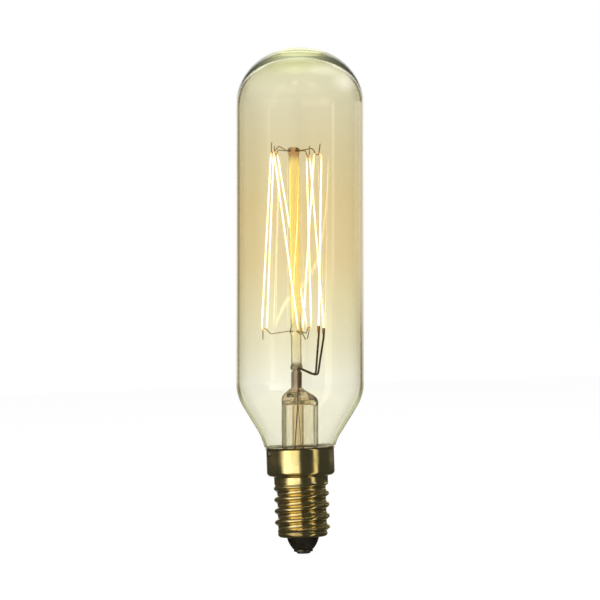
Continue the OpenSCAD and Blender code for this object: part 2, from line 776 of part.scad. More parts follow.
// One turn of the filament round a hook: a half circle that clears the hook's wire
function turn(azimuth, reach, height, w, skew, way, up) = let (
    aside = way * polar(azimuth + 90 + skew, 1, 0),
    crown = height + up * hook_gap
) [for (k = [0 : 8]) let (a = 180 * k / 8)
    polar(azimuth, reach, crown) - cos(a) * aside * w / 2 + [0, 0, up * (sin(a) - 1) * w / 2]];

function top_turn(i, way) = turn(
    top_azimuth[i], top_reach[i], top_root_h - top_hook_drop[i],
    top_turn_w[i], top_turn_skew[i], way, 1
);
function bottom_turn(i, way) = turn(
    bottom_azimuth[i], bottom_reach[i], bottom_root_h + bottom_hook_rise[i],
    bottom_turn_w[i], bottom_turn_skew[i], way, -1
);

// The filament's way round the rod, from the left crimp to the right one
filament_path = concat(
    [crimp_foot(0) + [0, 0, crimp_base + seat_gap * 2], crimp_foot(0) + [0, 0, crimp_h + 0.2]],
    top_turn(3, -1),
    bottom_turn(1, -1),
    top_turn(0, -1),
    bottom_turn(0, -1),
    top_turn(1, -1),
    bottom_turn(2, -1),
    top_turn(2, -1),
    [crimp_foot(1) + [0, 0, crimp_h + 0.2], crimp_foot(1) + [0, 0, crimp_base + seat_gap * 2]]
);

module filament() {
    color(glow) on_press() wire(filament_path, filament_r);
}

cap_shell();
cap_insulator();
centre_contact();
centre_solder();
side_solder();
basing_cement();
glass_envelope();
stem_tube();
exhaust_tube();
arbor_rod();
seal_wire_left();
seal_wire_right();
lead_post_left();
lead_post_right();
tail_wire_side();
tail_wire_centre();
top_anchor_1();
top_anchor_2();
top_anchor_3();
top_anchor_4();
bottom_anchor_1();
bottom_anchor_2();
bottom_anchor_3();
filament();
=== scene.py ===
import logging
import math
from abc import ABC, abstractmethod
from collections.abc import Sequence
from dataclasses import dataclass, field
from enum import Enum

import bmesh
import bpy
from mathutils import Matrix, Vector, kdtree, noise


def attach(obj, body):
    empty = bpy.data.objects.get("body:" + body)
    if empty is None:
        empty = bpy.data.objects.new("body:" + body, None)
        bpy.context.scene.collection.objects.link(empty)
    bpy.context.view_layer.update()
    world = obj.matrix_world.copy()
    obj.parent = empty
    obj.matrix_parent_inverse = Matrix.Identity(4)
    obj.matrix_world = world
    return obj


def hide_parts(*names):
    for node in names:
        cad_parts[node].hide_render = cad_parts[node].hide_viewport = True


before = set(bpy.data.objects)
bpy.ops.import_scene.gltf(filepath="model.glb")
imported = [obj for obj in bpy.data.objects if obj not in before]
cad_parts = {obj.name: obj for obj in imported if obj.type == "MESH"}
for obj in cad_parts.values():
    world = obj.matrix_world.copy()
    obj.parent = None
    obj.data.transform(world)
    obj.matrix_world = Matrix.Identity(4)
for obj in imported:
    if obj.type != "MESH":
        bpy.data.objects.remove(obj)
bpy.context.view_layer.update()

BODY = "root"
MM = 0.001
LOG = logging.getLogger("lamp")

Piece = bpy.types.Object
Material = bpy.types.Material
Node = bpy.types.Node
Socket = bpy.types.NodeSocket
Outline = list[tuple[float, float]]
Route = list[Vector]
Triple = tuple[float, float, float]
Colour = Triple
Input = Socket | float | Colour
Stops = Sequence[tuple[float, Colour]]

UPRIGHT = Matrix.Identity(4)
AXIS_RADIUS = 1e-6
SHARP_DEGREES = 35.0
WIRE_SHARP_DEGREES = 60.0
BEND_SHARE = 0.45
START_SLANT = Vector((0.31, 0.87, 0.38))
GLOW_SHARE = "glow_share"


class Slot(Enum):
    """Material slots of the record, one for each kind of material."""

    CAP_BRASS = "cap_brass"
    CONTACT_BRASS = "contact_brass"
    VITRITE = "vitrite"
    SOLDER = "solder"
    CEMENT = "cement"
    AMBER_GLASS = "amber_glass"
    STEM_GLASS = "stem_glass"
    SEAL_COPPER = "seal_copper"
    POST_NICKEL = "post_nickel"
    TAIL_COPPER = "tail_copper"
    ANCHOR_WIRE = "anchor_wire"
    FILAMENT_GLOW = "filament_glow"


class Side(Enum):
    """The two leads, by the side of the press that each stands on."""

    LEFT = -1
    RIGHT = 1


class Face(Enum):
    """The two faces of the blown wall, by how many thicknesses of it they lie inward."""

    OUTSIDE = 0
    INSIDE = 1


# Small geometry helpers, in millimetres until a mesh is written


def smooth(t: float) -> float:
    """Eases a share from 0 to 1, held at both ends.

    Args:
        t: The share, which may lie outside 0 to 1.

    Returns:
        The eased share.
    """
    c = min(max(t, 0.0), 1.0)
    return c * c * (3 - 2 * c)


def blend(a: float, b: float, t: float) -> float:
    """Returns the value a share t of the way from a to b."""
    return a + (b - a) * t


def polar(azimuth: float, reach: float, height: float) -> Vector:
    """Gives a point by its direction, distance and height round an axis.

    Args:
        azimuth: Direction in degrees from +X.
        reach: Distance from the axis.
        height: Height along the axis.

    Returns:
        The point.
    """
    a = math.radians(azimuth)
    return Vector((reach * math.cos(a), reach * math.sin(a), height))


def arc(centre: tuple[float, float], radius: float, start: float, end: float, steps: int = 12) -> Outline:
    """Lists points on an arc in the radius and height plane.

    Args:
        centre: Centre of the arc.
        radius: Radius of the arc.
        start: First angle in degrees.
        end: Last angle in degrees.
        steps: Number of chords.

    Returns:
        The points, both ends included.
    """
    angles = [math.radians(blend(start, end, i / steps)) for i in range(steps + 1)]
    return [(centre[0] + radius * math.cos(a), centre[1] + radius * math.sin(a)) for a in angles]


def eased(route: Route, cut: float, steps: int = 6) -> Route:
    """Rounds off each inner corner of a wire's route, by no more than a share of its legs.

    Args:
        route: The corner points.
        cut: Length taken off each side of a corner.
        steps: Number of chords in each bend.

    Returns:
        The route with its bends.
    """
    bent = [route[0]]
    for before, corner, after in zip(route, route[1:], route[2:]):
        back, on = before - corner, after - corner
        start = corner + back.normalized() * min(cut, back.length * BEND_SHARE)
        finish = corner + on.normalized() * min(cut, on.length * BEND_SHARE)
        for k in range(steps + 1):
            t = k / steps
            bent.append(start.lerp(corner, t).lerp(corner.lerp(finish, t), t))
    bent.append(route[-1])
    return bent


def crossings(route: Route) -> list[tuple[Vector, Vector]]:
    """Finds two directions across a route at each point, carried along it without twist.

    Args:
        route: The points of the route.

    Returns:
        Two unit vectors for each point, square to the route.
    """
    last = START_SLANT
    frames = []
    for before, after in zip(route[:1] + route[:-1], route[1:] + route[-1:]):
        along = (after - before).normalized()
        side = (last - last.dot(along) * along).normalized()
        frames.append((side, along.cross(side)))
        last = side
    return frames


def linked(name: str, mesh: bmesh.types.BMesh) -> Piece:
    """Turns a finished mesh into an object of the scene.

    Args:
        name: Name of the object.
        mesh: Its mesh, which is freed.

    Returns:
        The object.
    """
    data = bpy.data.meshes.new(name)
    mesh.to_mesh(data)
    mesh.free()
    piece = bpy.data.objects.new(name, data)
    bpy.context.scene.collection.objects.link(piece)
    return piece


def mesh_piece(
    name: str, rows: list[Route], closed: bool, place: Matrix = UPRIGHT, sharp: float = SHARP_DEGREES
) -> Piece:
    """Makes one smooth mesh from rings of points.

    Args:
        name: Name of the piece.
        rows: Rings with the same number of points each, or single points for poles.
        closed: Whether the last ring joins the first, where the mesh doesn't end in poles.
        place: Where the piece goes, in millimetres.
        sharp: Angle in degrees over which an edge stays sharp.

    Returns:
        The new object, with its mesh in metres in the lamp's frame.
    """
    mesh = bmesh.new()
    loops = [[mesh.verts.new((place @ p) * MM) for p in row] for row in rows]
    pairs = list(zip(loops, loops[1:])) + ([(loops[-1], loops[0])] if closed else [])
    for low, high in pairs:
        count = max(len(low), len(high))
        for k in range(count):
            n = (k + 1) % count
            if len(low) == 1:
                mesh.faces.new((low[0], high[n], high[k]))
            elif len(high) == 1:
                mesh.faces.new((low[k], low[n], high[0]))
            else:
                mesh.faces.new((low[k], low[n], high[n], high[k]))
    bmesh.ops.recalc_face_normals(mesh, faces=mesh.faces)
    piece = linked(name, mesh)
    piece.data.shade_smooth()
    piece.data.set_sharp_from_angle(angle=math.radians(sharp))
    return piece


def ring(radius: float, height: float, sides: int) -> Route:
    """Returns a level ring of points, or one point on the axis."""
    if radius < AXIS_RADIUS:
        return [Vector((0, 0, height))]
    return [polar(360 * k / sides, radius, height) for k in range(sides)]


def rings(outline: Outline, sides: int) -> list[Route]:
    """Turns each point of an outline into a ring round the vertical axis."""
    return [ring(radius, height, sides) for radius, height in outline]


def lathe(name: str, outline: Outline, closed: bool, place: Matrix = UPRIGHT, sides: int = 96) -> Piece:
    """Turns an outline round the vertical axis.

    Args:
        name: Name of the piece.
        outline: Radius and height of each point.
        closed: Whether the outline comes back to its start without meeting the axis.
        place: Where the piece goes.
        sides: Number of facets round the axis.

    Returns:
        The turned piece.
    """
    return mesh_piece(name, rings(outline, sides), closed, place)


def wire(name: str, route: Route, radius: float, place: Matrix, sides: int = 14) -> Piece:
    """Sweeps a round wire with softly rounded ends along a route.

    Args:
        name: Name of the piece.
        route: Centre line of the wire.
        radius: Radius of the wire.
        place: Where the piece goes.
        sides: Number of facets round the wire.

    Returns:
        The wire.
    """
    turns = [2 * math.pi * k / sides for k in range(sides)]
    circle = [(math.cos(turn), math.sin(turn)) for turn in turns]
    rows = []
    for point, (u, v) in zip(route, crossings(route)):
        rows.append([point + radius * (c * u + s * v) for c, s in circle])
    tip_out, tip_share, pole_out = 0.35, 0.6, 0.45
    for end, inner in ((0, 1), (-1, -2)):
        out = (route[end] - route[inner]).normalized() * radius
        tip = [route[end] + out * tip_out + (p - route[end]) * tip_share for p in rows[end]]
        pole = [route[end] + out * pole_out]
        rows = [pole, tip] + rows if end == 0 else rows + [tip, pole]
    return mesh_piece(name, rows, False, place, WIRE_SHARP_DEGREES)


def cut_away(piece: Piece, tool: Piece, sharp: float) -> None:
    """Cuts a tool out of a piece and removes the tool.

    Args:
        piece: The piece that is cut.
        tool: Closed mesh in the same frame.
        sharp: Angle in degrees over which an edge of the piece stays sharp.
    """
    cut = piece.modifiers.new("cut", "BOOLEAN")
    cut.operation = "DIFFERENCE"
    cut.solver = "EXACT"
    cut.object = tool
    graph = bpy.context.evaluated_depsgraph_get()
    result = bpy.data.meshes.new_from_object(piece.evaluated_get(graph))
    piece.modifiers.clear()
    old = piece.data
    piece.data = result
    result.name = old.name
    result.set_sharp_from_angle(angle=math.radians(sharp))
    bpy.data.meshes.remove(old)
    bpy.data.objects.remove(tool)


class NodeSheet:
    """Builds the nodes of one material or of the studio's surroundings."""

    material: Material
    shader: Node

    def __init__(self, tree: bpy.types.NodeTree) -> None:
        """Clears the tree and keeps it."""
        self.tree = tree
        tree.nodes.clear()

    @classmethod
    def for_material(cls, name: str) -> "NodeSheet":
        """Starts a material with one Principled shader.

        Args:
            name: Name of the material.

        Returns:
            The sheet, with the material and its shader as attributes.
        """
        material = bpy.data.materials.new(name)
        material.use_nodes = True
        sheet = cls(material.node_tree)
        sheet.material = material
        sheet.shader = sheet.node("ShaderNodeBsdfPrincipled")
        output = sheet.node("ShaderNodeOutputMaterial")
        sheet.join(sheet.shader.outputs[0], output.inputs["Surface"])
        return sheet

    def node(self, kind: str, inputs: dict[str | int, Input] | None = None, **settings: str | bool) -> Node:
        """Adds a node.

        Args:
            kind: Blender's name of the node type.
            inputs: Values or sockets for its inputs, by name or number.
            **settings: Properties of the node.

        Returns:
            The node.
        """
        made = self.tree.nodes.new(kind)
        for key, value in settings.items():
            setattr(made, key, value)
        for key, value in (inputs or {}).items():
            self.feed(made.inputs[key], value)
        return made

    def feed(self, socket: Socket, value: Input) -> None:
        """Gives a socket a link or a plain value.

        Args:
            socket: The input.
            value: Another node's output, a number or a colour.
        """
        if isinstance(value, Socket):
            self.join(value, socket)
        elif isinstance(value, tuple) and len(value) == 3 and socket.type == "RGBA":
            socket.default_value = (*value, 1.0)
        else:
            socket.default_value = value

    def join(self, output: Socket, socket: Socket) -> None:
        """Links an output to an input."""
        self.tree.links.new(output, socket)

    def set(self, **values: Input) -> None:
        """Sets or links inputs of the shader, with underscores for spaces."""
        for key, value in values.items():
            self.feed(self.shader.inputs[key.replace("_", " ")], value)

    def math(self, kind: str, *values: Input) -> Socket:
        """Works out a number.

        Args:
            kind: Operation of the Math node.
            *values: Its inputs, in order.

        Returns:
            The result.
        """
        return self.node("ShaderNodeMath", dict(enumerate(values)), operation=kind).outputs[0]

    def vector(self, kind: str, *values: Input, result: int = 0) -> Socket:
        """Works out a vector, or a number from vectors.

        Args:
            kind: Operation of the Vector Math node.
            *values: Its inputs, in order.
            result: Number of the output that holds the result, 1 for a length.

        Returns:
            The result.
        """
        made = self.node("ShaderNodeVectorMath", dict(enumerate(values)), operation=kind)
        return made.outputs[result]

    def ease(self, value: Input, low: float, high: float, start: float = 0.0, end: float = 1.0) -> Socket:
        """Maps a value smoothly from one range to another, held at both ends.

        Args:
            value: The value.
            low: Where the change begins.
            high: Where the change ends.
            start: Result at and before low.
            end: Result at and after high.

        Returns:
            The mapped value.
        """
        inputs = {0: value, 1: low, 2: high, 3: start, 4: end}
        return self.node("ShaderNodeMapRange", inputs, interpolation_type="SMOOTHSTEP").outputs[0]

    def place(self, stretch: Triple) -> Socket:
        """Returns the object's own coordinates in metres, stretched along its axes."""
        return self.vector("MULTIPLY", self.node("ShaderNodeTexCoord").outputs["Object"], stretch)

    def grain(self, scale: float, detail: float, rough: float, stretch: Triple = (1, 1, 1)) -> Socket:
        """Makes fine noise in the object's own coordinates.

        Args:
            scale: Cells per metre.
            detail: Layers of finer noise.
            rough: Strength of the finer layers.
            stretch: Stretch along the axes.

        Returns:
            The noise, about 0.5 on average.
        """
        inputs = {"Vector": self.place(stretch), "Scale": scale, "Detail": detail, "Roughness": rough}
        return self.node("ShaderNodeTexNoise", inputs).outputs[0]

    def tint(self, share: Input, first: Input, second: Input) -> Socket:
        """Mixes two colours.

        Args:
            share: Share of the second colour.
            first: Colour or socket.
            second: Colour or socket.

        Returns:
            The mixed colour.
        """
        mix = self.node("ShaderNodeMix", {0: share, 6: first, 7: second}, data_type="RGBA")
        return mix.outputs[2]

    def ramp(self, share: Input, stops: Stops) -> Socket:
        """Runs a colour along a share.

        Args:
            share: The share from 0 to 1.
            stops: Places and linear colours.

        Returns:
            The colour.
        """
        made = self.node("ShaderNodeValToRGB", {0: share})
        elements = made.color_ramp.elements
        while len(elements) < len(stops):
            elements.new(0.5)
        for element, (where, colour) in zip(elements, stops):
            element.position = where
            element.color = (*colour, 1.0)
        return made.outputs[0]

    def by_height(self, stops: Stops) -> Socket:
        """Runs a colour up the lamp.

        Args:
            stops: Heights in millimetres and linear colours.

        Returns:
            The colour.
        """
        low, high = stops[0][0], stops[-1][0]
        level = self.node("ShaderNodeMapRange", {0: self.height(), 1: low, 2: high}).outputs[0]
        return self.ramp(level, [((z - low) / (high - low), colour) for z, colour in stops])

    def bump(self, height: Input, strength: float, depth_mm: float) -> Socket:
        """Turns a height into a tilted normal.

        Args:
            height: The height, 0 to 1.
            strength: Strength of the tilt.
            depth_mm: Depth of the relief.

        Returns:
            The normal.
        """
        inputs = {"Strength": strength, "Distance": depth_mm * MM, "Height": height}
        return self.node("ShaderNodeBump", inputs).outputs[0]

    def scaled(self, colour: Input, share: Input) -> Socket:
        """Returns a colour times a number."""
        return self.node("ShaderNodeVectorMath", {0: colour, "Scale": share}, operation="SCALE").outputs[0]

    def sum(self, first: Input, second: Input) -> Socket:
        """Returns the sum of two colours."""
        return self.vector("ADD", first, second)

    def patch(self, middle: Triple, reach: Triple) -> Socket:
        """Fades from 1 at a point to 0 on an ellipsoid round it.

        Args:
            middle: The point, in millimetres.
            reach: Half the ellipsoid's size along each axis.

        Returns:
            The share.
        """
        apart = self.vector("SUBTRACT", self.place((1 / MM, 1 / MM, 1 / MM)), middle)
        far = self.vector("LENGTH", self.vector("DIVIDE", apart, reach), result=1)
        return self.ease(far, 0.0, 1.0, 1.0, 0.0)

    def axis_distance(self) -> Socket:
        """Returns the distance in millimetres from the cap's axis."""
        return self.vector("LENGTH", self.place((1 / MM, 1 / MM, 0)), result=1)

    def height(self) -> Socket:
        """Returns the height in millimetres above the contact."""
        return self.node("ShaderNodeSeparateXYZ", {0: self.place((0, 0, 1 / MM))}).outputs[2]


# Finishes


@dataclass(frozen=True)
class BrassFinish:
    """Drawn, lacquered brass with a little tarnish in its grooves."""

    name: str = "drawn_brass"
    clean: Colour = (0.86, 0.66, 0.25)
    pale: Colour = (0.90, 0.72, 0.34)
    tarnish: Colour = (0.36, 0.20, 0.06)
    groove_r: float = 6.1
    clean_r: float = 6.7
    thread_to: float = 17.2
    band_from: float = 18.0
    groove_share: float = 0.22
    spot_share: float = 0.45
    roughness: float = 0.15

    def material(self) -> Material:
        """Returns the finished material."""
        sheet = NodeSheet.for_material(self.name)
        cloud = sheet.grain(260, 4, 0.6)
        drawn = sheet.grain(900, 2, 0.5, (1, 1, 0.12))
        spots = sheet.ease(sheet.grain(1500, 2, 0.5), 0.66, 0.76)
        groove = sheet.ease(sheet.axis_distance(), self.groove_r, self.clean_r, self.groove_share, 0.0)
        threaded = sheet.ease(sheet.height(), self.thread_to, self.band_from, 1.0, 0.0)
        dirt = sheet.math("MULTIPLY", groove, threaded)
        dirt = sheet.math("MULTIPLY", dirt, sheet.ease(cloud, 0.25, 0.65, 0.5, 1.0))
        dirt = sheet.math("MAXIMUM", dirt, sheet.math("MULTIPLY", spots, self.spot_share))
        metal = sheet.tint(sheet.ease(cloud, 0.35, 0.7), self.clean, self.pale)
        fine = sheet.ease(drawn, 0.3, 0.7, self.roughness - 0.04, self.roughness + 0.06)
        sheet.set(
            Base_Color=sheet.tint(dirt, metal, self.tarnish),
            Metallic=1.0,
            Roughness=sheet.math("ADD", fine, sheet.math("MULTIPLY", dirt, 0.22)),
            Normal=sheet.bump(sheet.math("ADD", drawn, sheet.math("MULTIPLY", cloud, 2.0)), 0.12, 0.02),
            Coat_Weight=0.25,
            Coat_Roughness=0.08,
        )
        return sheet.material


@dataclass(frozen=True)
class VitriteFinish:
    """Black moulded glass of the insulator."""

    name: str = "black_vitrite"
    body: Colour = (0.012, 0.009, 0.004)
    dusty: Colour = (0.024, 0.020, 0.011)

    def material(self) -> Material:
        """Returns the finished material."""
        sheet = NodeSheet.for_material(self.name)
        cloud = sheet.grain(420, 4, 0.6)
        fine = sheet.grain(2600, 3, 0.6)
        sheet.set(
            Base_Color=sheet.tint(sheet.ease(cloud, 0.4, 0.75), self.body, self.dusty),
            Roughness=sheet.ease(cloud, 0.3, 0.7, 0.36, 0.5),
            Normal=sheet.bump(sheet.math("ADD", cloud, sheet.math("MULTIPLY", fine, 0.3)), 0.25, 0.05),
            IOR=1.45,
            Specular_IOR_Level=0.28,
        )
        return sheet.material


@dataclass(frozen=True)
class SolderFinish:
    """Tin solder that has set with a wrinkled skin and a little flux."""

    name: str = "tin_solder"
    bright: Colour = (0.24, 0.23, 0.20)
    flux: Colour = (0.05, 0.04, 0.028)

    def material(self) -> Material:
        """Returns the finished material."""
        sheet = NodeSheet.for_material(self.name)
        cloud = sheet.grain(900, 4, 0.6)
        stain = sheet.ease(sheet.grain(700, 3, 0.5), 0.5, 0.72)
        sheet.set(
            Base_Color=sheet.tint(stain, self.bright, self.flux),
            Metallic=1.0,
            Roughness=sheet.ease(cloud, 0.3, 0.7, 0.26, 0.5),
            Normal=sheet.bump(cloud, 0.5, 0.06),
        )
        return sheet.material


@dataclass(frozen=True)
class CementFinish:
    """Baked basing cement, matt and grainy."""

    name: str = "basing_cement"
    pale: Colour = (0.56, 0.49, 0.36)
    dark: Colour = (0.30, 0.24, 0.15)

    def material(self) -> Material:
        """Returns the finished material."""
        sheet = NodeSheet.for_material(self.name)
        grit = sheet.grain(2400, 5, 0.7)
        sheet.set(
            Base_Color=sheet.tint(sheet.ease(grit, 0.35, 0.7), self.pale, self.dark),
            Roughness=sheet.ease(grit, 0.3, 0.7, 0.8, 0.95),
            Normal=sheet.bump(grit, 0.7, 0.1),
        )
        return sheet.material


@dataclass(frozen=True)
class PaintedHighlight:
    """A painted highlight: a soft patch of light painted into the glass, in millimetres.

    Attributes:
        middle: Its brightest point.
        reach: Distance along each axis at which it has faded out.
        tone: The painted light that it adds at the middle.
    """

    middle: Triple
    reach: Triple
    tone: Colour


@dataclass(frozen=True)
class GlassFinish:
    """Glass whose tint follows its height and deepens where it is seen edge on, with a painted glow and
    painted highlights that it gives off as light.

    Attributes:
        name: Name of the material.
        tints: Tint at each height.
        edges: Tint at each height where the glass is seen edge on.
        edge_from: How far edge on the deeper tint begins, 0 to 1.
        edge_share: Largest share of the deeper tint.
        edge_to: How far edge on that share is reached.
        roughness: Roughness of the surface.
        ripple: Strength of the surface's unevenness.
        cloudy: Largest share of the deeper tint in soft clouds all over.
        ior: Refractive index.
        glow: Painted glow: light that the glass gives off at each height, in place of light that it catches.
        painted_glow_strength: Strength of that painted glow.
        spots: Painted highlights: patches of light painted into the glass.
    """

    name: str
    tints: Stops
    edges: Stops
    edge_from: float = 0.55
    edge_share: float = 0.8
    edge_to: float = 1.0
    roughness: float = 0.0
    ripple: float = 0.02
    cloudy: float = 0.06
    ior: float = 1.5
    glow: Stops = ()
    painted_glow_strength: float = 0.005
    spots: tuple[PaintedHighlight, ...] = ()

    def material(self) -> Material:
        """Returns the finished material."""
        sheet = NodeSheet.for_material(self.name)
        body, edge = sheet.by_height(self.tints), sheet.by_height(self.edges)
        cloud = sheet.grain(55, 3, 0.5, (1, 1, 0.35))
        body = sheet.tint(sheet.ease(cloud, 0.3, 0.75, 0.0, self.cloudy), body, edge)
        facing = sheet.node("ShaderNodeLayerWeight", {"Blend": 0.5}).outputs["Facing"]
        rim = sheet.ease(facing, self.edge_from, self.edge_to, 0.0, self.edge_share)
        sheet.set(
            Base_Color=sheet.tint(rim, body, edge),
            Roughness=self.roughness,
            Transmission_Weight=1.0,
            IOR=self.ior,
            Normal=sheet.bump(sheet.grain(120, 2, 0.4, (1, 1, 0.25)), self.ripple, 0.4),
        )
        # Painted light: the glass gives off a glow by height and soft painted highlights, in place of light
        # that it catches.
        if self.glow:
            light = sheet.scaled(sheet.by_height(self.glow), self.painted_glow_strength)
            for spot in self.spots:
                light = sheet.sum(light, sheet.scaled(spot.tone, sheet.patch(spot.middle, spot.reach)))
            sheet.set(Emission_Color=light, Emission_Strength=1.0)
            sheet.material.cycles.emission_sampling = "NONE"
        return sheet.material


@dataclass(frozen=True)
class WireFinish:
    """Drawn wire, oxidised unevenly, with another tone above a height.

    Attributes:
        name: Name of the material.
        body: Tone of the clean wire.
        oxide: Tone of its stains.
        end: Tone of its upper end.
        end_from: Height in millimetres where the upper tone begins.
        end_to: Height in millimetres where it is reached in full.
        metallic: Share of metal.
        roughness: Roughness of the clean wire.
    """

    name: str
    body: Colour
    oxide: Colour
    end: Colour
    end_from: float
    end_to: float
    metallic: float = 1.0
    roughness: float = 0.38

    def material(self) -> Material:
        """Returns the finished material."""
        sheet = NodeSheet.for_material(self.name)
        stain = sheet.ease(sheet.grain(1300, 3, 0.6), 0.35, 0.68)
        body = sheet.tint(stain, self.body, self.oxide)
        far = sheet.ease(sheet.height(), self.end_from, self.end_to)
        sheet.set(
            Base_Color=sheet.tint(far, body, self.end),
            Metallic=self.metallic,
            Roughness=sheet.math("ADD", sheet.math("MULTIPLY", stain, 0.2), self.roughness),
            Normal=sheet.bump(sheet.grain(6000, 2, 0.5), 0.25, 0.02),
        )
        return sheet.material


@dataclass(frozen=True)
class GlowFinish:
    """The lit filament: a hot wire whose turns differ slightly in brightness."""

    name: str = "lit_filament"
    hot: Colour = (1.0, 0.92, 0.70)
    warm: Colour = (1.0, 0.84, 0.55)
    cool: Colour = (1.0, 0.45, 0.12)
    strength: float = 6.5

    def material(self) -> Material:
        """Returns the finished material."""
        sheet = NodeSheet.for_material(self.name)
        cloud = sheet.ease(sheet.grain(180, 2, 0.5), 0.35, 0.7)
        glow = sheet.tint(cloud, self.hot, self.warm)
        heat = sheet.node("ShaderNodeAttribute", attribute_name=GLOW_SHARE).outputs["Fac"]
        sheet.set(
            Base_Color=sheet.tint(cloud, (0.30, 0.28, 0.26), (0.22, 0.20, 0.18)),
            Metallic=1.0,
            Roughness=0.45,
            Emission_Color=sheet.tint(heat, self.cool, glow),
            Emission_Strength=sheet.math("MULTIPLY", heat, self.strength),
        )
        sheet.material.cycles.emission_sampling = "NONE"
        return sheet.material


# Sub-assemblies


@dataclass
class Assembly(ABC):
    """Pieces that are built and dressed together."""

    parts: dict[str, Piece] = field(default_factory=dict, init=False)

    @abstractmethod
    def build(self) -> None:
        """Builds every piece."""

    @abstractmethod
    def dress(self) -> None:
        """Gives every piece its finish and hides the CAD nodes that the new pieces replace."""

    def keep(self, piece: Piece) -> None:
        """Remembers a piece under its name."""
        self.parts[piece.name] = piece

    def wear(self, name: str, material: Material, slot: Slot, *nodes: str) -> None:
        """Gives a piece its material and its place in the lamp.

        Args:
            name: Name of the piece.
            material: Its finish.
            slot: The record's slot for that finish; not used.
            *nodes: The CAD nodes that the piece stands for.
        """
        piece = self.parts[name]
        self.coat(piece, material, slot)
        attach(piece, BODY)
        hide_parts(*nodes)

    def wear_carried(self, node: str, material: Material, slot: Slot) -> None:
        """Gives a CAD node that stays its material."""
        self.parts[node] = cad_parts[node]
        self.coat(self.parts[node], material, slot)

    def coat(self, piece: Piece, material: Material, slot: Slot) -> None:
        """Sets the one material of a piece."""
        piece.data.materials.clear()
        piece.data.materials.append(material)

    def report(self) -> None:
        """Logs each piece with its size in millimetres."""
        for name, piece in self.parts.items():
            size = [round(side / MM, 2) for side in piece.dimensions]
            LOG.info("%s: %s, %d faces, %s mm", type(self).__name__, name, len(piece.data.polygons), size)


@dataclass(frozen=True)
class Placement:
    """Where the glass leans from and where its inner parts stand, in millimetres and degrees.

    Attributes:
        rim_z: Height of the cap's rim, about which the glass leans.
        lean: Lean of the glass to +X.
        press_offset: Distance of the press from the glass's axis to -X.
        press_top_z: Height of the press's top along the glass's axis.
        rod_lean: Lean of the rod back towards -X.
    """

    rim_z: float = 26.6
    lean: float = 1.9
    press_offset: float = 0.87
    press_top_z: float = 45.9
    rod_lean: float = 0.75

    def glass(self) -> Matrix:
        """Returns the place of what is turned about the glass's own axis."""
        up = Matrix.Translation((0, 0, self.rim_z))
        return up @ Matrix.Rotation(math.radians(self.lean), 4, "Y") @ up.inverted()

    def press(self) -> Matrix:
        """Returns the place of what stands on the press, along the rod's axis."""
        foot = Matrix.Translation((-self.press_offset, 0, self.press_top_z))
        return self.glass() @ foot @ Matrix.Rotation(-math.radians(self.rod_lean), 4, "Y")


